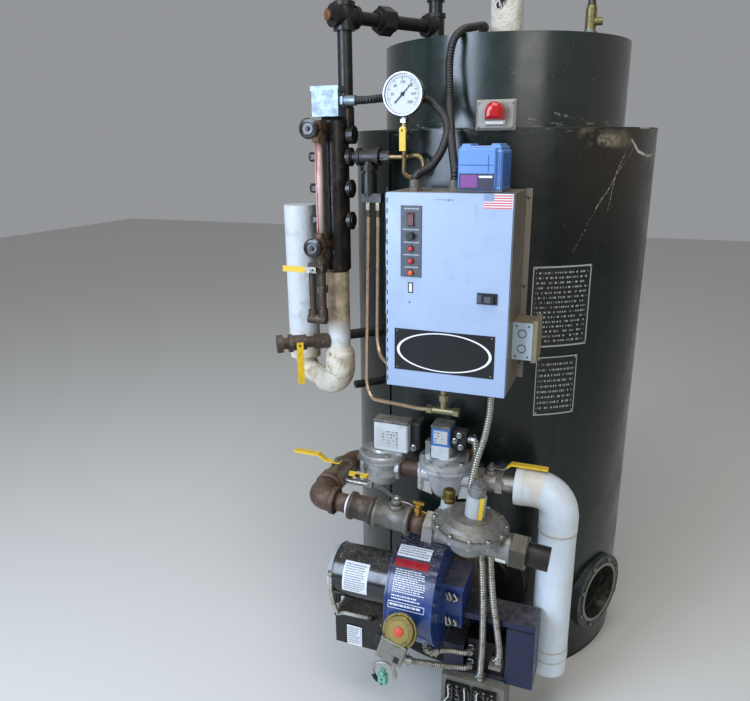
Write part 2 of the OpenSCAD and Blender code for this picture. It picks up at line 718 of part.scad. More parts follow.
module_x = 25;
module_right = 128;
module_front = -542;
module_top = cab_top + 88;
module flame_module() color("#3d6fd0") at_front() {
    block([module_x, module_front, cab_top + gap], [module_right, -452, module_top - 10]);
    block([module_x + 3, module_front + 4, module_top - 11], [module_right - 3, -455, module_top]);
    block([module_x + 6, module_front + 2, module_top - 1], [module_x + 24, -470, module_top + 4]);
    block([module_right - 24, module_front + 2, module_top - 1], [module_right - 6, -470, module_top + 4]);
    block([module_x + 8, module_front - 5, cab_top + 12], [module_right - 30, module_front + 1, cab_top + 74]);
}

alarm_x = 64;
alarm_z = shoulder_z + 32;
alarm_r = 19;
alarm_low = shoulder_z + 14;
alarm_front = -428;
cover_y = -394;
module alarm_light() color("#c21d1d") {
    block([alarm_x - 38, cover_y + 3, shoulder_z + gap], [alarm_x + 38, -345, shoulder_z + 53]);
    block([alarm_x - 42, cover_y, shoulder_z - 6], [alarm_x + 42, cover_y + 4, shoulder_z + 55]);
    block([alarm_x - 20, cover_y - 14, shoulder_z + 4], [alarm_x + 20, cover_y + 1, alarm_low + 1]);
    difference() {
        union() {
            bar_y(alarm_x, alarm_front + 6, alarm_z, cover_y - alarm_front - 5, alarm_r);
            bar_y(alarm_x, alarm_front, alarm_z, 7, alarm_r - 5);
            block([alarm_x - alarm_r, alarm_front + 6, alarm_low], [alarm_x + alarm_r, cover_y + 1, alarm_z]);
        }
        block([alarm_x - 30, -450, alarm_low - 40], [alarm_x + 30, cover_y - 15, alarm_low]);
    }
}

// Heights of the column's three bosses, the control tee is screwed into the highest one
boss_z = [1187, 1260, 1331];
tap_z = 1331;
plug_z = tap_z + 48;
boss_end = -262;
riser_x = column_x + 23;
riser_y = column_y + 15;
socket_h = 20;
module column_body() color("#24211f") at_front() {
    translate([column_x, column_y, column_z]) rotate_extrude()
        polygon([[0, 0], [column_r - 6, 0], [column_r, 7], [column_r, column_h - 8],
                 [column_r - 3, column_h], [0, column_h]]);
    for (z = boss_z) {
        bar_x(column_x, column_y, z, boss_end - column_x - 4, 14);
        bar_x(boss_end - 12, column_y, z, 9, 21);
        bar_x(boss_end - 12, column_y, z, 12, 16);
        bar_x(column_x - 48, column_y, z, 40, 12);
        bar_x(column_x - 46, column_y, z, 10, 15);
        hex_x(column_x - 60, column_y, z, 14, 11);
    }
    bar_x(column_x, column_y, plug_z, 40, 10);
    bar_x(boss_end - 10, column_y, plug_z, 15, 20);
    bar_z(riser_x, riser_y, column_top - 30, 30 + socket_h, pipe_r + 2);
}

box_right = column_x + 30;
box_y = -410;
box_z = 1451;
module column_box() color("#8c959b") at_front() {
    block([column_x - 34, -430, column_top + gap], [box_right, -392, column_top + 62]);
    block([column_x - 36, -432, column_top + 54], [box_right + 2, -391, column_top + 64]);
    bar_x(box_right - 1, box_y, box_z, 36, flex_r + 2);
    hex_x(box_right - 1, box_y, box_z, 9, flex_r + 7);
}

glass_x = column_x - 14;
glass_y = column_y - 60;
glass_top = 1392;
glass_bottom = 1134;
bonnet_len = 24;
module gauge_glass() color("#9b8d7c") at_front() {
    for (z = [glass_top, glass_bottom]) {
        difference() {
            bar_y(glass_x, glass_y - 8, z, 60, 11);
            bar_z(column_x, column_y, column_z - 1, column_h + 2, column_r + gap);
        }
        bar_z(glass_x, glass_y, z - 18, 36, 13);
        bar_y(glass_x, glass_y - bonnet_len, z, bonnet_len, 9);
        hex_y(glass_x, glass_y - 20, z, 9, 14);
    }
    hex_z(glass_x, glass_y, glass_bottom + 17, 12, 15);
    hex_z(glass_x, glass_y, glass_top - 29, 12, 15);
    bar_z(glass_x, glass_y, glass_bottom + 14, glass_top - glass_bottom - 28, 8);
}

module handwheel(z) translate([glass_x, glass_y, z]) rotate([90, 0, 0]) {
    translate([0, 0, bonnet_len + gap]) cylinder(h = 12, r = 5);
    rotate_extrude() polygon([[0, 34], [13, 34], [19, 36], [22, 39], [22, 47], [19, 50], [14, 51],
                              [12, 49], [6, 49], [5, 51], [0, 51]]);
}
module upper_handwheel() color("#191919") at_front() handwheel(glass_top);
module lower_handwheel() color("#191919") at_front() handwheel(glass_bottom);

// The level run from the cross on the column's riser to the tee over the top plate
run_y = riser_y + front_shift;
run_len = norm([tee_x - riser_x, tee_y - run_y]);
run_az = atan2(tee_y - run_y, tee_x - riser_x);
union_s = 112;
stub_top = cross_z + 73;
fitting_r = pipe_r + 5;
module cross_body(half) {
    bar_z(0, 0, -half, 2 * half, fitting_r);
    for (z = [-half, half - 9])
        bar_z(0, 0, z, 9, fitting_r + 3);
}
module top_piping() color("#1a1a1b") {
    bar_z(tee_x, tee_y, top_z + gap, stub_top - top_z - gap, pipe_r);
    bar_z(riser_x, run_y, column_top + socket_h + gap, stub_top - column_top - socket_h - gap, pipe_r);
    for (p = [[riser_x, run_y], [tee_x, tee_y]]) {
        translate([p.x, p.y, cross_z]) cross_body(29);
        bar_z(p.x, p.y, stub_top - 18, 18, fitting_r);
        hex_z(p.x, p.y, stub_top - 1, 9, 13);
    }
    translate([riser_x, run_y, cross_z]) rotate([0, 0, run_az]) {
        bar_x(0, 0, 0, run_len, pipe_r - 2);
        bar_x(-30, 0, 0, 62, fitting_r);
        bar_x(-32, 0, 0, 9, fitting_r + 3);
        bar_x(24, 0, 0, 9, fitting_r + 3);
        hex_x(-42, 0, 0, 12, 12);
        bar_x(run_len - 32, 0, 0, 30, fitting_r);
        bar_x(run_len - 33, 0, 0, 9, fitting_r + 3);
        hex_x(union_s - 16, 0, 0, 32, pipe_r + 15);
        bar_x(union_s - 26, 0, 0, 52, fitting_r);
    }
}

// Black pipes from the balance pipe to the casing, both start clear of the lagging
feed_z = 903;
feed_az = 134;
tail_az = 134;
tail_z = 768;
module feed_pipe() color("#151515") at_front() difference() {
    union() {
        translate([column_x, column_y, feed_z]) toward(feed_az) bar_y(0, -150, 0, 150, 12);
        translate([column_x, column_y, tail_z]) toward(tail_az) bar_y(0, -150, 0, 150, 10);
    }
    casing_behind();
    bar_z(column_x, column_y, feed_z - 20, 40, balance_r + gap);
    bar_z(column_x, column_y, tail_z - 60, 110, wrap_r + 3);
}

gauge_front = -425;
stem_y = -410;
cock_z = 1386;
cock_r = 9;
cock_low = cock_z - 14;
gauge_foot = gauge_z - gauge_r - 12;
module pressure_gauge() color("#d9dbdc") at_front() {
    translate([gauge_x, gauge_front, gauge_z]) rotate([-90, 0, 0]) rotate_extrude()
        polygon([[0, 4], [gauge_r - 6, 4], [gauge_r - 5, 0], [gauge_r - 2, 0], [gauge_r, 3], [gauge_r, 9],
                 [gauge_r - 4, 11], [gauge_r - 4, gauge_d - 6], [gauge_r - 10, gauge_d], [0, gauge_d]]);
    bar_z(gauge_x, stem_y, gauge_foot, 22, 8);
    hex_z(gauge_x, stem_y, gauge_foot, 8, 11);
}

// The tube leaves the tee behind the upright leg, turns down round the loop and comes up to the cock
tee_end = -172;
tube_y = -391;
loop_x = gauge_x + 16;
loop_z = 1312;
function loop_at(a, y) = [loop_x + siphon_loop * cos(a), y, loop_z + siphon_loop * sin(a)];
module siphon() color("#b09a66") at_front() {
    bar_z(gauge_x, stem_y, cock_low - 6, gauge_foot - gap - cock_low + 6, 7);
    bar_y(gauge_x, stem_y - cock_r, cock_z, 2 * cock_r, cock_r);
    hex_z(gauge_x, stem_y, cock_low - 4, 9, 10);
    flex_tube([[tee_end + gap, tube_y, tap_z], [gauge_x, tube_y, tap_z], loop_at(80, tube_y),
               loop_at(50, tube_y), loop_at(20, tube_y - 2), loop_at(-10, tube_y - 5), loop_at(-40, tube_y - 8),
               loop_at(-70, tube_y - 12), loop_at(-100, tube_y - 15), [gauge_x - 1, stem_y, loop_z - 16],
               [gauge_x, stem_y, loop_z], [gauge_x, stem_y, cock_low]], siphon_r, 12, 12);
}

module gauge_cock_lever() color("#e6c61f") at_front()
    translate([gauge_x, stem_y - cock_r - gap, cock_z]) rotate([90, 0, 0])
        difference() {
            block([-7, -42, 0], [7, 6, 4]);
            translate([0, 0, -1]) cylinder(h = 6, r = 3);
        }

tee_body_x = -223;
branch_low = 1231;
module control_tee() color("#1c1d1f") at_front() {
    bar_x(boss_end + gap, column_y, tap_z, tee_end - boss_end - gap - 12, 12);
    bar_x(tee_body_x - 27, column_y, tap_z, 54, 17);
    for (x = [tee_body_x - 27, tee_body_x + 19])
        bar_x(x, column_y, tap_z, 8, 20);
    hex_x(tee_end - 22, column_y, tap_z, 22, 13);
    bar_z(tee_body_x, column_y, branch_low + 12, tap_z - branch_low - 12, 14);
    bar_z(tee_body_x, column_y, tap_z - 30, 12, 20);
    bar_z(tee_body_x, column_y, branch_low + 18, 46, 18);
    block([tee_body_x - 15, column_y - 12, branch_low], [tee_body_x + 32, column_y + 12, branch_low + 20]);
}

tube_r = 4.5;
tube_1_x = tee_body_x - 2;
tube_2_x = tee_body_x + 22;
brass_y = -510;
brass_z = cab_z - 70;
brass_x = -2;
tube_2_z = cab_z + 11;
module copper_lines() color("#b8754a") at_front() {
    flex_tube([[tube_1_x, column_y, branch_low - gap], [tube_1_x - 9, column_y - 4, brass_z - 6],
               [tube_1_x + 10, column_y - 20, brass_z - 37], [-60, -497, brass_z - 8],
               [-30, brass_y, brass_z]], tube_r, 26);
    flex_tube([[tube_2_x, column_y, branch_low - gap], [tube_2_x - 3, column_y - 6, tube_2_z + 33],
               [tube_2_x + 10, column_y - 25, tube_2_z + 2], [-148, -472, tube_2_z],
               [cab_left - gap, -472, tube_2_z]],
              tube_r, 22);
    for (x = [tube_1_x, tube_2_x])
        hex_z(x, column_y, branch_low - gap - 18, 18, 8);
    bar_x(-36, brass_y, brass_z, 68, 8);
    for (x = [-39, 22])
        hex_x(x, brass_y, brass_z, 12, 11);
    bar_z(brass_x, brass_y, brass_z, cab_z - gap - brass_z, 7);
    hex_z(brass_x, brass_y, brass_z + 24, 14, 11);
}

// The balance pipe's bottom run goes back and left to the return riser, behind the column
balance_z = 780;
balance_turn = 46;
wrap_r = 37;
return_top = 1215;
elbow_top = balance_z + balance_turn;
wrap_len = 34;
wrap_end = 12;
taper = 16;
module balance_pipe() color("#d8d2c0") at_front()
    translate([column_x, column_y, 0]) rotate([0, 0, -loop_turn]) {
        bar_z(0, 0, elbow_top + wrap_len, column_z - gap - elbow_top - wrap_len, balance_r);
        translate([0, 0, elbow_top + wrap_len]) cylinder(h = taper, r1 = wrap_r, r2 = balance_r + 2);
        bar_z(0, 0, elbow_top, wrap_len, wrap_r);
        bend([0, 0, elbow_top], [0, 0, -1], [-1, 0, 0], balance_turn, 90, wrap_r);
        bar_x(-balance_turn - wrap_end, 0, balance_z, wrap_end, wrap_r);
        bar_x(balance_turn - riser_gap, 0, balance_z, riser_gap - 2 * balance_turn - wrap_end + 1, balance_r);
        bend([balance_turn - riser_gap, 0, balance_z], [-1, 0, 0], [0, 0, 1], balance_turn, 90, balance_r);
        bar_z(-riser_gap, 0, elbow_top - 6, return_top - elbow_top + 6, riser_lag_r);
    }

drain_z = 1080;
drain_low = 958;
drain_left = glass_x - 26;
drain_x = glass_x - 12;
drain_reach = 22;
module drain_valve() color("#6a5646") at_front() {
    bar_z(glass_x, glass_y, drain_low, glass_bottom - 18 - gap - drain_low, 9);
    hex_z(glass_x, glass_y, 1024, 16, 15);
    bar_z(glass_x, glass_y, 1092, 14, 13);
    bar_x(drain_left - 6, glass_y, drain_z, 40, 13);
    bar_z(drain_left, glass_y, drain_low, drain_z - drain_low, 8);
    bar_x(drain_left - 12, glass_y, drain_low, 46, 12);
    bar_z(drain_left, glass_y, drain_low + 4, 18, 12);
    bar_z(glass_x, glass_y, drain_low + 4, 22, 12);
    bar_y(drain_x, glass_y - drain_reach, drain_z, drain_reach, 7);
}
module drain_lever() color("#e2c21c") at_front()
    translate([drain_x, glass_y - drain_reach - gap, drain_z]) rotate([90, 0, 0]) rotate([0, 0, 180])
        small_lever(78, 14, 3, 3);

blow_az = -54;
blow_z = 893;
blow_end = 144;
blow_pin = 104;
blow_side = 28;
module blowdown_valve() color("#75604e") at_front()
    translate([column_x, column_y, 0]) toward(blow_az) {
        bar_y(0, -blow_end, blow_z, blow_end - balance_r - gap, 14);
        bar_y(0, -blow_pin - 20, blow_z, 40, 19);
        hex_y(0, -blow_pin - 24, blow_z, 10, 23);
        bar_y(0, -balance_r - 37, blow_z, 33, 19);
        bar_y(0, -blow_end - 12, blow_z, 14, 22);
        bar_x(0, -blow_pin, blow_z, blow_side, 7);
    }
module blowdown_lever() color("#e2c21c") at_front()
    translate([column_x, column_y, blow_z]) toward(blow_az) translate([blow_side + gap, -blow_pin, 0])
        rotate([0, 90, 0]) small_lever(97, 16, 3, 3);

lag_top = top_z + steam_h - 30;
module steam_outlet() color("#d9d0b8") difference() {
    union() {
        bar_z(0, 0, top_z + gap, steam_h - gap, steam_r);
        bar_z(0, 0, top_z + gap, steam_h - 36, steam_r + steam_lag);
        translate([0, 0, lag_top - 6 + gap]) cylinder(h = 6, r1 = steam_r + steam_lag, r2 = steam_r + 4);
    }
    bar_z(0, 0, top_z - 1, steam_h + 2, steam_r - steam_wall);
}

lift_z = top_z + 116;
lift_y = -16;
plate_w = 3;
module safety_valve() color("#b08d4b") {
    bar_z(safety_x, 0, top_z + gap, 30, 10);
    hex_z(safety_x, 0, top_z + 14, 14, 17);
    bar_z(safety_x, 0, top_z + 28, 52, safety_r);
    translate([safety_x, 0, top_z + 79]) cylinder(h = 14, r1 = safety_r, r2 = 9);
    bar_z(safety_x, 0, top_z + 92, 34, 9);
    bar_x(safety_x, 0, top_z + 50, 28, 9);
    bar_y(safety_x, lift_y - plate_w - 2, lift_z, 5 + plate_w + 12, 3);
}
module safety_lever() color("#8d8f91") difference() {
    block([safety_x - 7, lift_y - plate_w, lift_z - 5], [safety_x + 34, lift_y, lift_z + 5]);
    bar_y(safety_x, lift_y - plate_w - 1, lift_z, plate_w + 2, 3 + gap);
}

module conduits() color("#202124") {
    flex_tube(concat(moved([[entry_a.x, entry_a.y, cab_top + entry_h + gap],
                            [entry_a.x, entry_a.y, cab_top + 38], [-14, -445, cab_top + 89]]),
                     [[-44, -362, cab_top + 178], [-56, -346, cross_z - 97], [-52, -340, cross_z - 45],
                      [-44, -300, cross_z - 13], [-34, -200, cross_z - 9], [-58, -100, cross_z + 1],
                      [-64, 0, cross_z + 1], [-48, 70, cross_z - 1], [probe_x, probe_y, cross_z - 3],
                      [probe_x, probe_y, top_z + probe_h + gap]]), flex_r, 24);
    at_front() {
        flex_tube([[box_right + 35 + gap, box_y, box_z], [-215, box_y, box_z], [-180, -372, box_z + 6],
                   [-86, -370, box_z - 4], [-52, -396, cab_top + 130], [-46, -432, cab_top + 83],
                   [-56, -495, cab_top + 43], [entry_b.x, entry_b.y, cab_top + 37],
                   [entry_b.x, entry_b.y, cab_top + entry_h + gap]], flex_r, 24);
        flex_tube([[entry_c.x, entry_c.y, cab_z - entry_h - gap], [entry_c.x, entry_c.y, cab_z - 60],
                   [92, -505, 736], [78, -508, 690], [62, -508, 600], [84, -520, 445], [101, -574, 335],
                   [106, -574, 250], [106, -568, 190], [106, -568, relay_top + gap]], 8, 30);
        flex_tube([[44 + gap, -440, gas_z + 100], [57, -440, gas_z + 100], [66, -466, gas_z + 72],
                   [70, -484, 640], [78, -490, 600], [112, -516, 450], [128, -574, 335], [146, -574, 280],
                   [clamp_x, -566, 240], [clamp_x, -566, clamp_z + gap]], 8, 30);
        flex_tube([[-30, -672, 206], [-10, -656, 200], [56, -586, 182], [89, -573, 176],
                   [89, -device_front - gap, 176]], 7, 20);
        flex_tube([[20, -622, 226], [45, -592, 222], [89, -574, 216], [89, -device_front - gap, 216]], 7, 18);
        flex_tube([[lead_x, lead_y, 292 - gap], [lead_x, lead_y, 280], [lead_x, lead_y, box_top + gap]], 7, 4);
    }
}

base_plate();
lower_casing();
shoulder_plate();
upper_casing();
top_plate();
pressure_vessel();
seam_strip();
access_ring();
flue_collar();
burner_plate();
burner_head();
blower_housing();
burner_motor();
ignition_box();
pressure_switch();
burner_cabinet();
relay_box();
gas_riser();
riser_valve();
riser_valve_lever();
first_gas_valve();
second_gas_valve();
rear_gas_pipe();
inlet_valve();
inlet_valve_lever();
front_gas_pipe();
regulator();
pilot_line();
cabinet_body();
cabinet_door();
door_controls();
side_box();
flame_module();
alarm_light();
column_body();
column_box();
gauge_glass();
upper_handwheel();
lower_handwheel();
top_piping();
feed_pipe();
pressure_gauge();
siphon();
gauge_cock_lever();
control_tee();
copper_lines();
balance_pipe();
drain_valve();
drain_lever();
blowdown_valve();
blowdown_lever();
steam_outlet();
safety_valve();
safety_lever();
conduits();
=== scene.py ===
import itertools
import math
import random
import bmesh
import bpy
from mathutils import Matrix, Vector


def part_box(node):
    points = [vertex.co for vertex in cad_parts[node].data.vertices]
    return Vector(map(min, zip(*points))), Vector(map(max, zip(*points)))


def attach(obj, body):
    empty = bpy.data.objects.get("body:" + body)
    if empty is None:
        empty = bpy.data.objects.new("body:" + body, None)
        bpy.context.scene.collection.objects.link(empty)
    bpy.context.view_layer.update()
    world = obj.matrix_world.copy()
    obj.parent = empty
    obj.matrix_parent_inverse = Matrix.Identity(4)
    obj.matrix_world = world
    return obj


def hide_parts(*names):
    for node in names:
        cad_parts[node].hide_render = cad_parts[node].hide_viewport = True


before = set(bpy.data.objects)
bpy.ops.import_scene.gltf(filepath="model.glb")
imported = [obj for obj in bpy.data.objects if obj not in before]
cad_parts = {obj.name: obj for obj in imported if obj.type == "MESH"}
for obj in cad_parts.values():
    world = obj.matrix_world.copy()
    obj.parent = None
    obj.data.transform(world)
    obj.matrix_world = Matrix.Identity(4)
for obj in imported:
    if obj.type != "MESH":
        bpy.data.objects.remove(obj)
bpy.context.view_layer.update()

# ---------------------------------------------------------------- camera
# The photograph is taken standing, a little above the gauge's height and right of the centre,
# with a phone's wide lens that looks slightly down and left.
camera_place = Vector((0.378, -1.882, 1.360))
camera_turn = math.radians(21.536)
camera_dip = math.radians(16.821)
camera_roll = math.radians(-0.524)
level = Vector((-math.sin(camera_turn), math.cos(camera_turn), 0.0))
forward = level * math.cos(camera_dip) - Vector((0, 0, math.sin(camera_dip)))
right = Vector((math.cos(camera_turn), math.sin(camera_turn), 0.0))
above = right.cross(forward)
rolled_right = right * math.cos(camera_roll) + above * math.sin(camera_roll)
rolled_above = above * math.cos(camera_roll) - right * math.sin(camera_roll)
lens = bpy.data.cameras.new("camera")
lens.sensor_fit = "HORIZONTAL"
lens.sensor_width = 36.0
lens.lens = 32.87
lens.clip_start = 0.05
lens.clip_end = 40.0
camera = bpy.data.objects.new("camera", lens)
bpy.context.scene.collection.objects.link(camera)
turn = Matrix((rolled_right, rolled_above, -forward)).transposed().to_4x4()
camera.matrix_world = Matrix.Translation(camera_place) @ turn
bpy.context.scene.camera = camera
bpy.context.scene.view_settings.view_transform = "Standard"


# ---------------------------------------------------------------- floor and light
# A plain pale floor, a soft white room, and a tall soft window at the left that draws the bluish
# stripe down the casing; a broad fill keeps the burner's dark parts readable.
def linear(code):
    """Linear colour of an sRGB hex code."""
    parts = [int(code[i:i + 2], 16) / 255 for i in (1, 3, 5)]
    return [c / 12.92 if c <= 0.04045 else ((c + 0.055) / 1.055) ** 2.4 for c in parts] + [1.0]


def add(tree, kind, ins=None, **settings):
    """Adds a node with its settings; ins gives each input a value or the socket that feeds it."""
    made = tree.nodes.new(kind)
    for key, value in settings.items():
        setattr(made, key, value)
    for key, value in (ins or {}).items():
        if isinstance(value, bpy.types.NodeSocket):
            tree.links.new(value, made.inputs[key])
        else:
            made.inputs[key].default_value = value
    return made


def math_of(tree, operation, *values):
    """One maths node, whose inputs are numbers or sockets."""
    return add(tree, "ShaderNodeMath", dict(enumerate(values)), operation=operation).outputs[0]


def blank(name):
    """A new material with a principled shader, and its tree and shader."""
    made = bpy.data.materials.new(name)
    made.use_nodes = True
    return made, made.node_tree, made.node_tree.nodes["Principled BSDF"]


def plain(name, code, rough):
    """A material of one colour and one roughness."""
    made, _, shader = blank(name)
    shader.inputs["Base Color"].default_value = linear(code)
    shader.inputs["Roughness"].default_value = rough
    return made


floor_mesh = bpy.data.meshes.new("floor")
floor_half = 9.0
floor_mesh.from_pydata([(-floor_half, -floor_half, 0), (floor_half, -floor_half, 0),
                        (floor_half, floor_half, 0), (-floor_half, floor_half, 0)], [], [(0, 1, 2, 3)])
floor = bpy.data.objects.new("floor", floor_mesh)
bpy.context.scene.collection.objects.link(floor)
floor_mesh.materials.append(plain("matt_pale_floor", "#D9D8D4", 0.85))

world = bpy.data.worlds.new("soft_room")
world.use_nodes = True
bpy.context.scene.world = world
world.node_tree.nodes["Background"].inputs["Color"].default_value = linear("#E9ECF0")
world.node_tree.nodes["Background"].inputs["Strength"].default_value = 0.36


def soft_light(name, place, aim, width, height, watts, code):
    """A rectangular area light that faces a point."""
    lamp = bpy.data.lights.new(name, "AREA")
    lamp.shape = "RECTANGLE"
    lamp.size, lamp.size_y = width, height
    lamp.energy = watts
    lamp.color = linear(code)[:3]
    made = bpy.data.objects.new(name, lamp)
    bpy.context.scene.collection.objects.link(made)
    made.location = place
    made.rotation_mode = "QUATERNION"
    made.rotation_quaternion = (Vector(aim) - Vector(place)).to_track_quat("-Z", "Y")
    return made


soft_light("window", (-1.37, -2.76, 1.75), (0, 0, 1.25), 1.3, 2.1, 88, "#D3E5FF")
soft_light("fill", (1.9, -3.0, 2.2), (0.1, -0.3, 0.7), 1.6, 1.6, 26, "#FAF6F0")
soft_light("top", (0.1, -1.3, 3.5), (0, -0.3, 0.9), 1.8, 1.4, 42, "#F8F6F2")


# ---------------------------------------------------------------- casing
# The jacket is rolled steel sheet in dark green enamel, seamed at the left, over the pressure
# vessel; its shoulder is scuffed, the right of it is browned by heat, and chalky runs hang below.
def tone(tree, low, high, factor):
    """Mixes two colours, each a hex code or a socket, by a factor."""
    low, high = (linear(end) if isinstance(end, str) else end for end in (low, high))
    return add(tree, "ShaderNodeMix", {0: factor, 6: low, 7: high}, data_type="RGBA", clamp_factor=True).outputs[2]


def times(tree, *values):
    """The product of two numbers or sockets."""
    return math_of(tree, "MULTIPLY", *values)


def between(tree, value, low, high):
    """One where a value lies between two limits."""
    return times(tree, math_of(tree, "GREATER_THAN", value, low), math_of(tree, "LESS_THAN", value, high))


def axes(tree):
    """The X, Y and Z of a point of the object, in metres."""
    return add(tree, "ShaderNodeSeparateXYZ", {0: add(tree, "ShaderNodeTexCoord").outputs["Object"]}).outputs


def rise_of(tree):
    """How far a face looks up, from nought for an upright one to one for a level one."""
    return add(tree, "ShaderNodeSeparateXYZ", {0: add(tree, "ShaderNodeNewGeometry").outputs["Normal"]}).outputs[2]


def ramped(tree, value, low, high, to_low=0.0, to_high=1.0):
    """Spreads a value from low..high to to_low..to_high, held at both ends."""
    ends = {"Value": value, 1: low, 2: high, 3: to_low, 4: to_high}
    return add(tree, "ShaderNodeMapRange", ends, clamp=True).outputs[0]


def cloud(tree, size_mm, detail=4.0, stretch=(1, 1, 1), rough=0.55):
    """A noise pattern whose blots are size_mm across, stretched along the axes."""
    place = add(tree, "ShaderNodeTexCoord").outputs["Object"]
    moved = add(tree, "ShaderNodeMapping", {"Vector": place, "Scale": stretch}).outputs[0]
    return add(tree, "ShaderNodeTexNoise", {"Vector": moved, "Scale": 1000.0 / size_mm, "Detail": detail,
                                            "Roughness": rough}).outputs["Fac"]


def inside(tree, low, high):
    """One inside a box given in millimetres, nought outside it."""
    place = add(tree, "ShaderNodeTexCoord").outputs["Object"]
    centre = [(a + b) / 2000 for a, b in zip(low, high)]
    half = [(b - a) / 2000 for a, b in zip(low, high)]
    shifted = add(tree, "ShaderNodeVectorMath", {0: place, 1: centre}, operation="SUBTRACT").outputs[0]
    far = add(tree, "ShaderNodeVectorMath", {0: shifted}, operation="ABSOLUTE").outputs[0]
    over = add(tree, "ShaderNodeVectorMath", {0: far, 1: half}, operation="SUBTRACT").outputs[0]
    parts = add(tree, "ShaderNodeSeparateXYZ", {0: over}).outputs
    worst = math_of(tree, "MAXIMUM", math_of(tree, "MAXIMUM", parts[0], parts[1]), parts[2])
    return math_of(tree, "LESS_THAN", worst, 0.0)


def dusted(tree, colour, code, share):
    """Lays dust on what faces up, broken up by a noise."""
    lying = ramped(tree, rise_of(tree), 0.25, 0.85)
    broken = ramped(tree, cloud(tree, 14), 0.35, 0.68, 0.35, 1.0)
    factor = times(tree, times(tree, lying, broken), share)
    return tone(tree, colour, code, factor)


def worn(name, code, rough, metal=0.0, stain=None, dust=None, bump=None, coat=0.0):
    """A finish with stains (colour, share, size in mm), dust (colour, share), bumps (depth and size
    in mm) and uneven gloss; returns material, tree, shader and colour."""
    made, tree, shader = blank(name)
    colour = add(tree, "ShaderNodeRGB").outputs[0]
    colour.default_value = linear(code)
    stain_code, share, size = stain or (None, 0.0, 30)
    if stain:
        blots = ramped(tree, cloud(tree, size, 6.0), 0.66 - 0.3 * share, 0.78 - 0.2 * share)
        colour = tone(tree, colour, stain_code, times(tree, blots, min(1.0, 0.4 + share)))
    if dust:
        colour = dusted(tree, colour, *dust)
    tree.links.new(colour, shader.inputs["Base Color"])
    gloss = ramped(tree, cloud(tree, size * 0.7), 0.3, 0.7, max(0.03, rough - 0.1), min(1.0, rough + 0.14))
    tree.links.new(gloss, shader.inputs["Roughness"])
    shader.inputs["Metallic"].default_value = metal
    shader.inputs["Coat Weight"].default_value = coat
    shader.inputs["Coat Roughness"].default_value = 0.2
    if bump:
        relief = add(tree, "ShaderNodeBump", {"Height": cloud(tree, bump[1]), "Strength": 1.0,
                                              "Distance": bump[0] / 1000.0})
        tree.links.new(relief.outputs[0], shader.inputs["Normal"])
    return made, tree, shader, colour


def dress(finish, *names):
    """Gives CAD nodes a finish by their material slots."""
    for name in names:
        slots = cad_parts[name].material_slots
        for slot in slots:
            slot.material = finish


def near_line(tree, start, end, width_mm, ragged_mm):
    """One on a ragged line between two places in millimetres, fading over its width."""
    place = add(tree, "ShaderNodeTexCoord").outputs["Object"]
    shake = add(tree, "ShaderNodeTexNoise", {"Vector": place, "Scale": 1000.0 / 22}).outputs["Color"]
    shake = add(tree, "ShaderNodeVectorMath", {0: shake, 1: (0.5, 0.5, 0.5)}, operation="SUBTRACT").outputs[0]
    shake = add(tree, "ShaderNodeVectorMath", {0: shake, "Scale": ragged_mm / 1000.0}, operation="SCALE")
    place = add(tree, "ShaderNodeVectorMath", {0: place, 1: shake.outputs[0]}, operation="ADD").outputs[0]
    a, b = Vector(start) / 1000, Vector(end) / 1000
    along = b - a
    offset = add(tree, "ShaderNodeVectorMath", {0: place, 1: a}, operation="SUBTRACT").outputs[0]
    dot = add(tree, "ShaderNodeVectorMath", {0: offset, 1: along / along.length_squared},
              operation="DOT_PRODUCT").outputs["Value"]
    share = ramped(tree, dot, 0.0, 1.0)
    foot = add(tree, "ShaderNodeVectorMath", {0: along, "Scale": share}, operation="SCALE").outputs[0]
    gap = add(tree, "ShaderNodeVectorMath", {0: offset, 1: foot}, operation="DISTANCE").outputs["Value"]
    return ramped(tree, gap, width_mm / 2000.0, width_mm / 1000.0, 1.0, 0.0)


def on_casing(az, z, radius=381.0):
    """The place on the casing at a direction in degrees right of the front, in millimetres."""
    angle = math.radians(az)
    return (radius * math.sin(angle), -radius * math.cos(angle), z)


# Chalky runs and rubs: start, end, width and raggedness in mm, colour, share, and how broken they are.
marks_on_casing = (
    (on_casing(57, 1339), on_casing(52, 1279), 2.2, 8, "#A39F92", 0.7, 5),
    (on_casing(52, 1279), on_casing(44.8, 1215), 2.2, 10, "#A39F92", 0.7, 5),
    (on_casing(61.6, 1345), on_casing(52.7, 1287), 2.2, 8, "#9C978A", 0.6, 5),
    (on_casing(52.7, 1287), on_casing(50.3, 1213), 2.2, 10, "#9C978A", 0.6, 5),
    (on_casing(44.8, 1215), on_casing(37, 1120), 2.0, 12, "#8F8B7F", 0.4, 6),
    (on_casing(39, 1371), on_casing(57, 1364), 24, 8, "#6F6653", 0.6, 60),
    (on_casing(45, 1364), on_casing(52, 1360), 14, 8, "#9A917D", 0.6, 18),
    (on_casing(59.8, 1363), on_casing(64.4, 1338), 4, 3, "#C9C6BC", 0.9, 60),
    (on_casing(64.4, 1338), on_casing(73, 1326), 4, 3, "#C9C6BC", 0.9, 60),
    (on_casing(73, 1326), on_casing(84, 1333), 4, 3, "#C9C6BC", 0.9, 60),
    (on_casing(22, 1409, 303), on_casing(36, 1400, 303), 3, 12, "#8B887B", 0.5, 9),
    (on_casing(34, 1420, 303), on_casing(52, 1399, 303), 4, 14, "#8B887B", 0.6, 10))
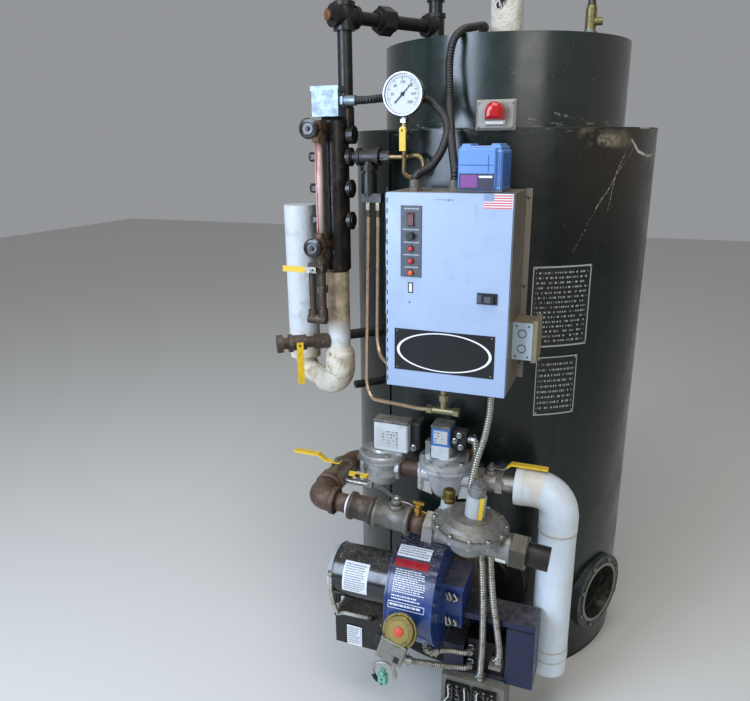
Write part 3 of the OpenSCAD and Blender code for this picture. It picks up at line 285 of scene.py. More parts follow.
# The lower jacket is painted a darker green, with duller gloss, than the upper one: painted shade where the lamps'
# light falls off towards the floor, while the upper jacket keeps the lighter, lit tone.
for nodes, code, stain_code, coat, shine in ((("lower_casing", "seam_strip"), "#0A1311", "#101A18", 0.2, 0.35),
                                             (("upper_casing", "top_plate"), "#15231F", "#1C2C27", 0.45, 0.5)):
    enamel, tree, shader, colour = worn("dark_green_enamel_" + nodes[0], code, 0.26, stain=(stain_code, 0.5, 120),
                                        dust=("#6E6A5C", 0.45), coat=coat)
    shader.inputs["Specular IOR Level"].default_value = shine
    # Faint upright wiping marks, and lighter rubs along both rims, break the even enamel.
    wiped = ramped(tree, cloud(tree, 26, 5.0, (1, 1, 0.06)), 0.5, 0.8, 0.0, 0.35)
    colour = tone(tree, colour, "#22332F", wiped)
    places = axes(tree)
    browned = times(tree, ramped(tree, places[0], 0.17, 0.33, 0.0, 0.9), ramped(tree, places[2], 1.1, 1.34))
    colour = tone(tree, colour, "#33281B", browned)
    rim = times(tree, ramped(tree, places[2], 1.375, 1.389), ramped(tree, places[2], 1.42, 1.392))
    scrapes = ramped(tree, cloud(tree, 9, 8.0, (0.35, 0.35, 1.4), 0.7), 0.56, 0.66)
    colour = tone(tree, colour, "#8E8A7C", times(tree, rim, scrapes))
    for start, end, width, ragged, mark_code, share, broken in marks_on_casing:
        chalk = times(tree, near_line(tree, start, end, width, ragged),
                      ramped(tree, cloud(tree, broken, 8.0), 0.43, 0.56))
        colour = tone(tree, colour, mark_code, times(tree, chalk, share))
    specks = ramped(tree, cloud(tree, 5, 3.0), 0.70, 0.74)
    colour = tone(tree, colour, "#A7A294", times(tree, specks, 0.35))
    tree.links.new(colour, shader.inputs["Base Color"])
    relief = add(tree, "ShaderNodeBump", {"Height": cloud(tree, 160, 2.0), "Distance": 0.004, "Strength": 0.35})
    tree.links.new(relief.outputs[0], shader.inputs["Normal"])
    dress(enamel, *nodes)

# The shoulder's upper face keeps soot, dust and the heat's brown and white bloom at its right.
bloomed, tree, shader, colour = worn("heat_bloomed_enamel", "#1A2723", 0.40, stain=("#2C362F", 0.6, 50),
                                     dust=("#7A7567", 0.4))
spots = ((on_casing(40, 1388, 345), 46, "#5B4B38", 0.9), (on_casing(50, 1388, 350), 30, "#C9C2B0", 0.8),
         (on_casing(68, 1388, 352), 44, "#E4DFD2", 0.95), (on_casing(66, 1388, 338), 36, "#4B3F31", 1.0))
place = add(tree, "ShaderNodeTexCoord").outputs["Object"]
for spot, radius, code, share in spots:
    far = add(tree, "ShaderNodeVectorMath", {0: place, 1: Vector(spot) / 1000}, operation="DISTANCE").outputs["Value"]
    ragged = math_of(tree, "MULTIPLY_ADD", cloud(tree, 22, 5.0), 0.03, far)
    colour = tone(tree, colour, code, times(tree, ramped(
        tree, ragged, (radius + 15) / 1000, (radius - 6) / 1000), share))
tree.links.new(colour, shader.inputs["Base Color"])
dress(bloomed, "shoulder_plate")

# Sooty steel inside the ports, and the plate on the floor.
sooty, *_ = worn("sooty_steel", "#26221E", 0.75, 0.2, stain=("#4A3526", 0.6, 40))
dress(sooty, "base_plate", "pressure_vessel")
# The burner plate is black enamel; its near-black also serves as painted shade for the shadowed region round the
# burner.
black_plate, *_ = worn("black_burner_plate_enamel_and_shade", "#0F1011", 0.5, dust=("#3A362F", 0.5))
dress(black_plate, "burner_plate")
flange_paint, tree, shader, colour = worn("scuffed_flange_enamel", "#262E2B", 0.38, stain=("#4A4B44", 0.4, 18))
radius = add(tree, "ShaderNodeVectorMath", {0: add(tree, "ShaderNodeTexCoord").outputs["Object"],
                                            1: Vector(on_casing(64, 183, 396)) / 1000}, operation="DISTANCE")
bright = ramped(tree, radius.outputs["Value"], 0.0845, 0.083)
tree.links.new(tone(tree, colour, "#8F8C84", bright), shader.inputs["Base Color"])
tree.links.new(bright, shader.inputs["Metallic"])
dress(flange_paint, "access_ring")
collar_zinc, *_ = worn("dull_zinc_sheet", "#8B8D8A", 0.45, 0.9, stain=("#5C5E5B", 0.4, 12))
dress(collar_zinc, "flue_collar")


# ---------------------------------------------------------------- plates on the casing
# Two rating plates of thin black anodised sheet with printed pale borders and lines, bent to the
# jacket and riveted at their corners.
def add_piece(name, form, finishes, body, smooth=False):
    """A mesh piece that rides on a body; its form is points in millimetres, faces and, where joined parts differ, a
    finish number for each face."""
    points, faces, *kinds = form
    mesh = bpy.data.meshes.new(name)
    mesh.from_pydata([[c / 1000 for c in p] for p in points], [], faces)
    for finish in finishes if isinstance(finishes, (list, tuple)) else [finishes]:
        mesh.materials.append(finish)
    if kinds:
        mesh.polygons.foreach_set("material_index", kinds[0])
    mesh.polygons.foreach_set("use_smooth", [smooth] * len(mesh.polygons))
    mesh.validate()
    mesh.update()
    made = bpy.data.objects.new(name, mesh)
    bpy.context.scene.collection.objects.link(made)
    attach(made, body)
    return made


def box_data(low, high):
    """Points and faces of a box between two corners."""
    points = [(x, y, z) for z in (low[2], high[2]) for y in (low[1], high[1]) for x in (low[0], high[0])]
    faces = [(0, 2, 3, 1), (4, 5, 7, 6), (0, 1, 5, 4), (2, 6, 7, 3), (0, 4, 6, 2), (1, 3, 7, 5)]
    return points, faces


def joined(parts):
    """Joins lists of points and faces into one, with a finish number for each face."""
    points, faces, kinds = [], [], []
    for part in parts:
        base = len(points)
        points += part[0]
        faces += [tuple(i + base for i in face) for face in part[1]]
        kinds += [part[2] if len(part) > 2 else 0] * len(part[1])
    return points, faces, kinds


def lathe_data(profile, place, axis, sides=40):
    """Points and faces of a profile of (radius, height) turned round an axis from a place."""
    axis = Vector(axis).normalized()
    side = axis.orthogonal().normalized()
    other = axis.cross(side)
    place = Vector(place)
    points, faces = [], []
    for radius, height in profile:
        for k in range(sides):
            a = math.tau * k / sides
            points.append(tuple(place + axis * height + (side * math.cos(a) + other * math.sin(a)) * radius))
    for i in range(len(profile) - 1):
        for k in range(sides):
            j = (k + 1) % sides
            faces.append((i * sides + k, i * sides + j, (i + 1) * sides + j, (i + 1) * sides + k))
    faces.append(tuple(reversed(range(sides))))
    faces.append(tuple((len(profile) - 1) * sides + k for k in range(sides)))
    return points, faces


def hulled(points):
    """The convex form round a set of places, as points and faces."""
    form = bmesh.new()
    for point in points:
        form.verts.new(point)
    bmesh.ops.convex_hull(form, input=form.verts)
    bmesh.ops.dissolve_limit(form, angle_limit=0.01, verts=form.verts, edges=form.edges)
    bmesh.ops.delete(form, geom=[vert for vert in form.verts if not vert.link_faces], context="VERTS")
    bmesh.ops.recalc_face_normals(form, faces=form.faces)
    form.verts.index_update()
    made = [tuple(vert.co) for vert in form.verts], [tuple(vert.index for vert in face.verts) for face in form.faces]
    form.free()
    return made


def eased_box(low, high, ease):
    """A box whose edges are all cut back by ease, as those of castings and folded sheet are."""
    points = []
    for corner in itertools.product((0, 1), repeat=3):
        for axis in range(3):
            points.append([(low, high)[corner[k]][k] + (0 if k == axis else ease * (1 - 2 * corner[k]))
                           for k in range(3)])
    return hulled(points)


def bowed_data(az_low, az_high, z_low, z_high, radius, thick):
    """Points and faces of a thin sheet bent round the casing."""
    points, faces, steps = [], [], 14
    for r in (radius, radius + thick):
        for z in (z_low, z_high):
            for i in range(steps + 1):
                points.append(on_casing(az_low + (az_high - az_low) * i / steps, z, r))
    n = steps + 1
    for i in range(steps):
        faces += [(2 * n + i, 2 * n + i + 1, 3 * n + i + 1, 3 * n + i), (i, n + i, n + i + 1, i + 1),
                  (i, i + 1, 2 * n + i + 1, 2 * n + i), (n + i, 3 * n + i, 3 * n + i + 1, n + i + 1)]
    faces += [(0, 2 * n, 3 * n, n), (steps, n + steps, 3 * n + steps, 2 * n + steps)]
    return points, faces


def printed(name, ground, ink, low, high, rows, share=0.55, rough=0.35, border=0.0):
    """A plate's finish: rows of short printed dashes, without words, between low and high in mm."""
    made, tree, shader = blank(name)
    parts = axes(tree)
    rise = ramped(tree, parts[2], low[1] / 1000, high[1] / 1000)
    across = ramped(tree, parts[0], low[0] / 1000, high[0] / 1000)
    row = math_of(tree, "FRACT", times(tree, rise, float(rows)))
    line = between(tree, row, 0.30, 0.66)
    count = math_of(tree, "FLOOR", times(tree, rise, float(rows)))
    seat = add(tree, "ShaderNodeCombineXYZ", {0: times(tree, across, 26.0), 1: count})
    dash = add(tree, "ShaderNodeTexNoise", {"Vector": seat.outputs[0], "Scale": 1.0, "Detail": 1.0}).outputs["Fac"]
    mark = times(tree, line, math_of(tree, "LESS_THAN", dash, 0.42 + 0.2 * share))
    for value in (across, rise):
        mark = times(tree, mark, math_of(tree, "GREATER_THAN", value, 0.07))
        mark = times(tree, mark, math_of(tree, "LESS_THAN", value, 0.93))
    if border:
        edge = math_of(tree, "MINIMUM", math_of(tree, "MINIMUM", across, math_of(tree, "SUBTRACT", 1.0, across)),
                       math_of(tree, "MINIMUM", rise, math_of(tree, "SUBTRACT", 1.0, rise)))
        frame_line = between(tree, edge, border * 0.4, border)
        mark = math_of(tree, "MAXIMUM", mark, frame_line)
    tree.links.new(tone(tree, ground, ink, mark), shader.inputs["Base Color"])
    shader.inputs["Roughness"].default_value = rough
    return made


ahead, upward, leftward = (0, -1, 0), (0, 0, 1), (-1, 0, 0)
plates = ((23.5, 45.8, 905, 1097, 17, "upper_rating_plate"), (26.5, 42.5, 737, 885, 11, "lower_rating_plate"))
for az_low, az_high, z_low, z_high, rows, name in plates:
    x_low, x_high = on_casing(az_low, 0)[0], on_casing(az_high, 0)[0]
    plate_print = printed("black_anodised_" + name, "#17191A", "#A9AFAE", (x_low, z_low), (x_high, z_high), rows,
                          0.35, 0.4, 0.03)
    sheet = bowed_data(az_low, az_high, z_low, z_high, 381.2, 0.8)
    add_piece(name, sheet, plate_print, "boiler")
rivet_steel, *_ = worn("dull_steel_rivet", "#9A9B98", 0.4, 1.0)
rivets = [lathe_data([(3.2, 0), (3.0, 0.8), (1.8, 1.6), (0.4, 1.9)], on_casing(az, z, 381.9),
                     on_casing(az, 0, 1.0), 12)
          for low, high, bottom, top, _, _ in plates for az in (low + 1, high - 1) for z in (bottom + 7, top - 7)]
form = joined(rivets)
add_piece("rating_plate_rivets", form, rivet_steel, "boiler", True)

# The seam strip's screws and the jacket's drip edge screws, small hex heads.
screws = [lathe_data([(5.0, 0), (5.0, 2.6), (3.6, 3.4)], on_casing(-32, z, 384.0), on_casing(-32, 0, 1.0), 6)
          for z in range(120, 1380, 140)]
form = joined(screws)
screw_zinc, *_ = worn("tarnished_zinc_screw", "#7E807C", 0.42, 0.9, stain=("#4A3F33", 0.5, 4))
add_piece("seam_screws", form, screw_zinc, "boiler")
ring = [lathe_data([(6.5, 0), (6.5, 4), (5, 5.2)],
                   tuple(Vector(on_casing(64, 183, 393)) + Vector((math.cos(math.radians(64)), math.sin(
                       math.radians(64)), 0)) * 93 * math.cos(a) + Vector((0, 0, 93 * math.sin(a)))),
                   on_casing(64, 0, 1.0), 6)
        for a in [math.tau * (k + 0.5) / 8 for k in range(8)]]
form = joined(ring)
add_piece("access_port_bolts", form, screw_zinc, "boiler")

# ---------------------------------------------------------------- top fittings
# The steam pipe is lagged with painted canvas that is torn open at the top; beside it stands a
# small brass safety valve with a zinc lever.
canvas, tree, shader, colour = worn("painted_canvas_lagging", "#CFCAC0", 0.72, stain=("#B3A78D", 0.45, 34),
                                    dust=("#A79F8E", 0.35))
folds = math_of(tree, "ADD", cloud(tree, 42, 3.0, (1, 1, 0.5)), times(tree, cloud(tree, 7, 4.0), 0.35))
relief = add(tree, "ShaderNodeBump", {"Height": folds, "Distance": 0.012, "Strength": 0.8})
tree.links.new(relief.outputs[0], shader.inputs["Normal"])
stain_place = axes(tree)[2]
grimed = times(tree, ramped(tree, stain_place, 0.86, 0.74), ramped(tree, cloud(tree, 30, 5.0), 0.4, 0.6))
tree.links.new(tone(tree, colour, "#A08C6A", times(tree, grimed, 0.45)), shader.inputs["Base Color"])
dress(canvas, "steam_outlet")

# The balance pipe's lagging: a smooth cold white bandage at the left, tan plaster on the upright that
# carries on up at the right, and a cream elbow with fine cracks.
pipe_wrap, tree, shader, colour = worn("plastered_pipe_lagging", "#C9CFD2", 0.6, stain=("#AFB2AE", 0.4, 40),
                                       dust=("#A79F8E", 0.3))
parts = axes(tree)
tan = times(tree, ramped(tree, parts[0], -0.349, -0.341), ramped(tree, parts[2], 0.905, 0.955))
colour = tone(tree, colour, tone(tree, "#B3A386", "#8F8069", ramped(tree, cloud(tree, 22, 6.0), 0.42, 0.62)), tan)
low_bend = ramped(tree, parts[2], 0.905, 0.865)
colour = tone(tree, colour, tone(tree, "#D0CABA", "#B3A58A", ramped(tree, cloud(tree, 26, 6.0), 0.46, 0.66)),
              low_bend)
crack_place = add(tree, "ShaderNodeTexCoord").outputs["Object"]
cracks = add(tree, "ShaderNodeTexVoronoi", {"Vector": crack_place, "Scale": 26.0},
             feature="DISTANCE_TO_EDGE").outputs["Distance"]
cracked = times(tree, times(tree, ramped(tree, cracks, 0.035, 0.0), low_bend),
                ramped(tree, cloud(tree, 60, 2.0), 0.45, 0.55))
tree.links.new(tone(tree, colour, "#5F5340", cracked), shader.inputs["Base Color"])
relief = add(tree, "ShaderNodeBump", {"Height": cloud(tree, 30, 5.0), "Distance": 0.006, "Strength": 0.5})
tree.links.new(relief.outputs[0], shader.inputs["Normal"])
dress(pipe_wrap, "balance_pipe")

torn_edge = []
random.seed(11)
for k in range(9):
    a0, a1 = -2.2 + k * 0.09, -2.2 + (k + 1) * 0.09
    lows = [1700 - 26 * math.sin(math.pi * (k + step) / 9) ** 0.6 + 3 * math.sin(2.1 * (k + step)) for step in (0, 1)]
    corner = [(41.6 * math.cos(a), 41.6 * math.sin(a), z)
              for a, z in ((a0, lows[0]), (a1, lows[1]), (a1, 1738), (a0, 1738))]
    torn_edge.append((corner, [(0, 1, 2, 3)]))
form = joined(torn_edge)
char, *_ = worn("charred_insulation", "#1B1714", 0.95, bump=(2, 5))
add_piece("torn_lagging_patch", form, char, "boiler")
random.seed(12)
flaps = []
for k in range(10):
    a, z = -2.2 + k * 0.105, 1674 + random.uniform(-3, 8) + abs(k - 4) * 5
    out, wide = 44 + random.uniform(1, 5), 0.1 + random.uniform(0, 0.08)
    flaps.append(([(41.4 * math.cos(a), 41.4 * math.sin(a), z),
                   (41.4 * math.cos(a + wide), 41.4 * math.sin(a + wide), z + 4),
                   (out * math.cos(a + wide * 0.5), out * math.sin(a + wide * 0.5), z + random.uniform(10, 24))],
                  [(0, 1, 2)]))
form = joined(flaps)
add_piece("torn_lagging_flaps", form, canvas, "boiler")

aged_brass, tree, shader, colour = worn("aged_brass", "#7D744C", 0.42, 0.7, stain=("#57502F", 0.5, 9))
up_valve = axes(tree)[2]
colour = tone(tree, colour, "#4B4A44", ramped(tree, up_valve, 1.672, 1.674))
tree.links.new(tone(tree, colour, "#7B7E7C", ramped(tree, up_valve, 1.6205, 1.6195)), shader.inputs["Base Color"])
dress(aged_brass, "safety_valve")
zinc_plate, *_ = worn("zinc_plated_steel", "#A9ABA8", 0.34, 1.0, stain=("#7B7A72", 0.35, 8))
dress(zinc_plate, "safety_lever")

# ---------------------------------------------------------------- water column and top piping
# Cast iron column and malleable fittings under dusty black enamel; the plugs have rusted, and the
# box on top, which holds the probe's terminals, is bright zinc.
black_iron, *_ = worn("dusty_black_iron", "#141413", 0.36, stain=("#33281F", 0.35, 26),
                      dust=("#4A443C", 0.6), bump=(0.3, 2.5))
dress(black_iron, "top_piping", "feed_pipe", "control_tee")
column_black, tree, shader, colour = worn("brown_black_column_enamel", "#15120F", 0.28, stain=("#3A2E26", 0.4, 30),
                                          dust=("#4A433A", 0.4))
dress(column_black, "column_body")
bright_zinc, *_ = worn("bright_zinc_box", "#7F8B92", 0.42, 0.8, stain=("#667177", 0.4, 20))
dress(bright_zinc, "column_box")
phenolic, *_ = worn("black_phenolic_knob", "#161515", 0.22, stain=("#2A2725", 0.3, 10),
                    dust=("#5B544A", 0.4), coat=0.3)
dress(phenolic, "upper_handwheel", "lower_handwheel")
rusty_plug, *_ = worn("rusty_plug", "#5C3F2C", 0.8, 0.3, stain=("#8A5B36", 0.7, 7), bump=(0.5, 3.0))
plug_run = Vector((-143 + 284, -145 + 370, 0)).normalized()
plug_place = Vector((-284, -370, 1627)) - plug_run * 42.3
form = lathe_data([(12.6, 0), (12.6, 3.2), (9, 4.5), (4, 4.8)], plug_place, -plug_run, 6)
add_piece("cross_plug_face", form, rusty_plug, "boiler")
plugs = [lathe_data([(11.6, -2), (11.6, 3.5), (8, 5), (3, 5.2)], (-367.2, -385, z), leftward, 6)
         for z in (1187, 1260, 1331)]
form = joined(plugs)
green_brass, *_ = worn("verdigris_plug", "#3A3A2A", 0.6, 0.5, stain=("#6C7350", 0.5, 6))
add_piece("column_plug_heads", form, green_brass, "boiler")

# The gauge glass: brass cocks gone dull brown, a clear tube with red lines behind it.
dull_bronze, *_ = worn("grimy_bronze", "#5D4A38", 0.55, 0.7, stain=("#8C7357", 0.45, 8),
                       dust=("#7C7060", 0.5), bump=(0.4, 3.0))
dress(dull_bronze, "gauge_glass")
grey_bronze, *_ = worn("greyed_bronze", "#4B4138", 0.55, 0.55, stain=("#6E604F", 0.4, 9),
                       dust=("#7C7263", 0.5), bump=(0.4, 3.0))
dress(grey_bronze, "drain_valve", "blowdown_valve")
tube_glass, tree, shader = blank("clear_gauge_tube")
shader.inputs["Base Color"].default_value = linear("#EADFD8")
shader.inputs["Roughness"].default_value = 0.08
shader.inputs["Coat Weight"].default_value = 0.6
parts = axes(tree)
stripe = math_of(tree, "LESS_THAN", math_of(tree, "ABSOLUTE", math_of(tree, "ADD", parts[0], 0.3225)), 0.0016)
pale = ramped(tree, parts[2], 1.15, 1.36)
body_tone = tone(tree, "#D8C3BE", "#B99A93", pale)
tree.links.new(tone(tree, body_tone, "#A43B3B", stripe), shader.inputs["Base Color"])
form = lathe_data([(8.4, 0), (8.4, 198)], (-321, -445, 1164), upward, 28)
add_piece("gauge_tube", form, tube_glass, "boiler", True)
knob_steel, *_ = worn("dull_knob_nut", "#4A4844", 0.5, 0.8)
for z, name, body in ((1392, "upper_knob_nut", "upper_wheel"), (1134, "lower_knob_nut", "lower_wheel")):
    form = lathe_data([(4.6, 0), (4.6, 2.2), (3, 3.2)], (-321, -445 - 51, z), ahead, 6)
    add_piece(name, form, knob_steel, body)

# ---------------------------------------------------------------- pressure gauge and siphon
# A stainless gauge with a white dial, its pointer a little past the middle, on a brass cock and a
# bronze siphon tube.
steel_case, *_ = worn("polished_stainless", "#8E9090", 0.27, 1.0, stain=("#6D6A62", 0.35, 12))
dress(steel_case, "pressure_gauge")
gauge_at = (-130.0, -425.0, 1460.0)
dial_white, tree, shader = blank("white_enamel_dial")
place = add(tree, "ShaderNodeTexCoord").outputs["Object"]
parts = add(tree, "ShaderNodeSeparateXYZ", {0: place}).outputs
across = math_of(tree, "ADD", parts[0], -gauge_at[0] / 1000)
rise = math_of(tree, "ADD", parts[2], -gauge_at[2] / 1000)
angle = math_of(tree, "ARCTAN2", across, rise)
radius = math_of(tree, "SQRT", math_of(tree, "ADD", times(tree, across, across),
                                       times(tree, rise, rise)))
ticks = math_of(tree, "PINGPONG", times(tree, angle, 50 / math.tau), 0.5)
long_ticks = math_of(tree, "PINGPONG", times(tree, angle, 10 / math.tau), 0.5)
fine = times(tree, math_of(tree, "LESS_THAN", ticks, 0.12), between(tree, radius, 0.0315, 0.035))
coarse = times(tree, math_of(tree, "LESS_THAN", long_ticks, 0.05), between(tree, radius, 0.028, 0.035))
band = between(tree, radius, 0.0352, 0.0358)
scale = times(tree, math_of(tree, "MAXIMUM", math_of(tree, "MAXIMUM", fine, coarse), band),
              math_of(tree, "LESS_THAN", math_of(tree, "ABSOLUTE", angle), 2.36))
tree.links.new(tone(tree, "#C6CED3", "#4A4C4E", times(tree, scale, 0.8)), shader.inputs["Base Color"])
shader.inputs["Roughness"].default_value = 0.6
shader.inputs["Specular IOR Level"].default_value = 0.2
form = lathe_data([(39.6, 0), (39.6, 0.8)], (gauge_at[0], gauge_at[1] + 4 - 0.1, gauge_at[2]), ahead, 56)
add_piece("gauge_dial", form, dial_white, "boiler")
needle_black, *_ = worn("black_gauge_pointer", "#16181A", 0.4)
dial_front = gauge_at[1] + 3
lean_to = math.radians(44)
along = Vector((math.sin(lean_to), 0, math.cos(lean_to)))
beside = Vector((math.cos(lean_to), 0, -math.sin(lean_to)))
hub = Vector((gauge_at[0], dial_front - 1.2, gauge_at[2]))
needle = [tuple(hub + along * a + beside * b)
          for a, b in ((-24, -1.5), (-24, 1.5), (4, 1.3), (30, 0.3), (30, -0.3), (4, -1.3))]
needle += [tuple(Vector(p) + Vector((0, 0.8, 0))) for p in needle]
needle_faces = [(0, 1, 2, 3, 4, 5), (11, 10, 9, 8, 7, 6)] + [(i, i + 6, (i + 1) % 6 + 6, (i + 1) % 6)
                                                             for i in range(6)]
boss = lathe_data([(4, 0), (4, 2), (2, 3)], (gauge_at[0], dial_front, gauge_at[2]), ahead, 20)
form = joined([(needle, needle_faces), boss])
add_piece("gauge_pointer", form, needle_black, "boiler")
# The dial's figures are numbers only, round the scale.
figure_ink, *_ = worn("dial_figure_ink", "#3A3D40", 0.6)
for k, figure in enumerate(("0", "30", "60", "100", "130", "160", "200")):
    at = -2.36 + k * 4.72 / 6
    curve = bpy.data.curves.new("dial_figure_" + figure, "FONT")
    curve.body = figure
    curve.size = 0.0085
    curve.align_x, curve.align_y = "CENTER", "CENTER"
    curve.extrude = 0.00005
    made = bpy.data.objects.new("dial_figure_" + figure, curve)
    bpy.context.scene.collection.objects.link(made)
    made.location = ((gauge_at[0] + 23.5 * math.sin(at)) / 1000, (dial_front - 0.25) / 1000,
                     (gauge_at[2] + 23.5 * math.cos(at)) / 1000)
    made.rotation_euler = (math.pi / 2, 0, 0)
    curve.materials.append(figure_ink)
    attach(made, "boiler")
siphon_bronze, *_ = worn("aged_siphon_bronze", "#8F7C5A", 0.32, 0.9, stain=("#6A573A", 0.45, 10))
dress(siphon_bronze, "siphon")
yellow_vinyl, tree, shader, colour = worn("yellow_vinyl_sleeve", "#D9B41C", 0.42, stain=("#8C741B", 0.35, 9),
                                          dust=("#A8976A", 0.35))
# The riser's and the drain's levers show bare steel from the pin to where the sleeve begins.
bare = math_of(tree, "MAXIMUM", inside(tree, (80, -460, 630), (134, -420, 665)),
               inside(tree, (-353, -480, 1060), (-310, -460, 1095)))
steel_tone = tone(tree, "#A6A49B", "#6E695E", ramped(tree, cloud(tree, 8, 5.0), 0.42, 0.62))
tree.links.new(tone(tree, colour, steel_tone, bare), shader.inputs["Base Color"])
tree.links.new(times(tree, bare, 0.85), shader.inputs["Metallic"])
dress(yellow_vinyl, "gauge_cock_lever", "drain_lever", "blowdown_lever", "inlet_valve_lever", "riser_valve_lever")

# ---------------------------------------------------------------- control cabinet
# A pale blue-grey enamelled steel enclosure on two brackets, its door on a long piano hinge; a dark
# panel carries rocker, knob and three lamps, and a black plate with a white oval sits low on it.
cabinet_enamel, tree, shader, colour = worn("pale_blue_grey_enamel", "#9CAFCB", 0.30, stain=("#97A8C0", 0.35, 70),
                                            dust=("#9C978C", 0.5))
low_edge = axes(tree)[2]
colour = tone(tree, colour, "#8CA1C4", ramped(tree, low_edge, 1.02, 0.87, 0.0, 0.45))
smears = ramped(tree, cloud(tree, 18, 6.0, (1, 1, 0.3)), 0.62, 0.75, 0.0, 0.35)
tree.links.new(tone(tree, colour, "#8F8B80", smears), shader.inputs["Base Color"])
dress(cabinet_enamel, "cabinet_door")
side_enamel, tree, shader, colour = worn("shaded_grey_enamel", "#655E53", 0.42, stain=("#585044", 0.5, 45),
                                         dust=("#8B8472", 0.5))
strip = ramped(tree, axes(tree)[0],
               0.1425, 0.1435)
tree.links.new(tone(tree, colour, "#827D71", strip), shader.inputs["Base Color"])
dress(side_enamel, "cabinet_body")
zinc_cover, tree, shader, colour = worn("dull_zinc_cover", "#8F8468", 0.45, 0.3, stain=("#7A7058", 0.5, 14),
                                        dust=("#7D7464", 0.7))
cover_face = inside(tree, (140, -514, 915), (191, -509, 1009))
tree.links.new(tone(tree, colour, "#AEBFCB", cover_face), shader.inputs["Base Color"])
dress(zinc_cover, "side_box")

door_face = -572.0
panel_dark, *_ = worn("dark_grey_switch_panel", "#454B53", 0.45, stain=("#51565C", 0.3, 12))
lamp_red = plain("red_lamp_lens", "#C2363A", 0.18)
lamp_amber = plain("amber_lamp_lens", "#E0603A", 0.18)
rocker_red, *_ = worn("dark_red_rocker", "#5E1B1F", 0.25)
pale_ink, *_ = worn("pale_panel_print", "#A9B2BC", 0.6)
dark_ink, *_ = worn("dark_door_print", "#2C2F33", 0.6)


def slab(low, high, bevel=0.0):
    """A box in millimetres as points and faces, with its front edges cut back by bevel."""
    points, faces = box_data(low, high)
    if not bevel:
        return points, faces
    points = [(x + (bevel if x == low[0] else -bevel), y, z + (bevel if z == low[2] else -bevel))
              if y == low[1] else (x, y, z) for x, y, z in points]
    return points, faces


lamp_heights = (1157, 1132, 1108)
mid = -58.5
parts_of_panel = [slab((-81, door_face - 2, 1099), (-36.5, door_face - 0.3, 1242), 0.6) + (0,),
                  slab((-67, door_face - 3.2, 1200), (-50, door_face - 1.8, 1229), 0.5) + (6,),
                  slab((-65, door_face - 6.5, 1203), (-52, door_face - 3, 1226), 1.2) + (1,),
                  lathe_data([(8, 0), (8, 9), (6.5, 11)], (mid, door_face - 2, 1182), ahead, 24) + (2,)]
for k, z in enumerate(lamp_heights):
    parts_of_panel.append(lathe_data([(6.6, 0), (6.6, 1.6), (5.6, 2.2)], (mid, door_face - 2, z), ahead, 24) + (6,))
    parts_of_panel.append(lathe_data([(5.2, 0), (5.2, 4), (3.6, 6), (1, 6.8)], (mid, door_face - 2.2, z), ahead,
                                     24) + (3 if k < 2 else 4,))
random.seed(3)
for z, wide in ((1236, 15), (1195, 17), (1169.5, 15), (1144.5, 16), (1119.5, 13)):
    x = mid - wide
    while x < mid + wide:
        stroke = random.uniform(1.0, 3.2)
        parts_of_panel.append(slab((x, door_face - 2.15, z - 1.3), (x + stroke, door_face - 1.9, z + 1.3)) + (5,))
        x += stroke + 0.9
parts_of_panel.append(slab((79, door_face - 5, 1053), (120, door_face - 0.3, 1076), 1.5) + (2,))
parts_of_panel.append(slab((92, door_face - 10, 1056), (116, door_face - 4, 1073), 2.0) + (2,))
parts_of_panel.append(slab((95, door_face - 11, 1058), (109, door_face - 9.5, 1071), 1.0) + (0,))
parts_of_panel.append(slab((81, door_face - 5.6, 1056), (89, door_face - 4.8, 1073), 0.4) + (0,))
form = joined(parts_of_panel)
black_plastic, *_ = worn("black_moulded_plastic", "#15171A", 0.35)
controls = add_piece("door_panel_controls", form,
                     [panel_dark, rocker_red, black_plastic, lamp_red, lamp_amber, pale_ink, black_plastic],
                     "door")
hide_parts("door_controls")

# The plate: black with a white oval ring, left without its words; a striped film; two small marks.
plate_black, tree, shader = blank("black_plate_with_white_oval")
parts = axes(tree)
u = math_of(tree, "DIVIDE", math_of(tree, "SUBTRACT", parts[0], 0.0125), 0.101)
v = math_of(tree, "DIVIDE", math_of(tree, "SUBTRACT", parts[2], 0.944), 0.0418)
far = math_of(tree, "SQRT", math_of(tree, "ADD", times(tree, u, u), times(tree, v, v)))
ring = between(tree, far, 0.945, 1.0)
tree.links.new(tone(tree, "#17181B", "#E8EAEE", ring), shader.inputs["Base Color"])
shader.inputs["Roughness"].default_value = 0.25
film_blue, *_ = worn("blue_printed_film", "#8091B4", 0.35)
film_red, *_ = worn("red_printed_film", "#C7565C", 0.4)
film_white, *_ = worn("white_printed_film", "#DADFE6", 0.4)
marks = [slab((-94, door_face - 0.9, 899), (119, door_face - 0.3, 989)) + (0,),
         slab((86, door_face - 0.35, 1239), (142, door_face - 0.05, 1267)) + (3,),
         slab((86, door_face - 0.5, 1253), (106, door_face - 0.2, 1267)) + (1,)]
for k in range(6):
    marks.append(slab((106 if k > 2 else 86, door_face - 0.5, 1239.5 + 4.6 * k),
                      (141, door_face - 0.2, 1241.9 + 4.6 * k)) + (2,))
for low, high in (((-65, 1066), (-54, 1088)), ((-62.5, 1068.5), (-56.5, 1085.5)), ((-63, 1045), (-60, 1048)),
                  ((-9, 1254), (-7, 1255)), ((-4, 1253.6), (-2, 1254.8)), ((1, 1254), (2, 1255.5)),
                  ((4, 1253.4), (6.5, 1254.4)),
                  ((9, 1253.4), (10, 1255.4)), ((12.5, 1253), (14, 1255)), ((17, 1252), (19, 1256)),
                  ((24, 1252.6), (25, 1255.8))):
    marks.append(slab((low[0], door_face - 0.5 - 0.1 * (low[0] == -62.5), low[1]),
                      (high[0], door_face - 0.1, high[1])) +
                 (3 if low[0] == -62.5 else 4,))
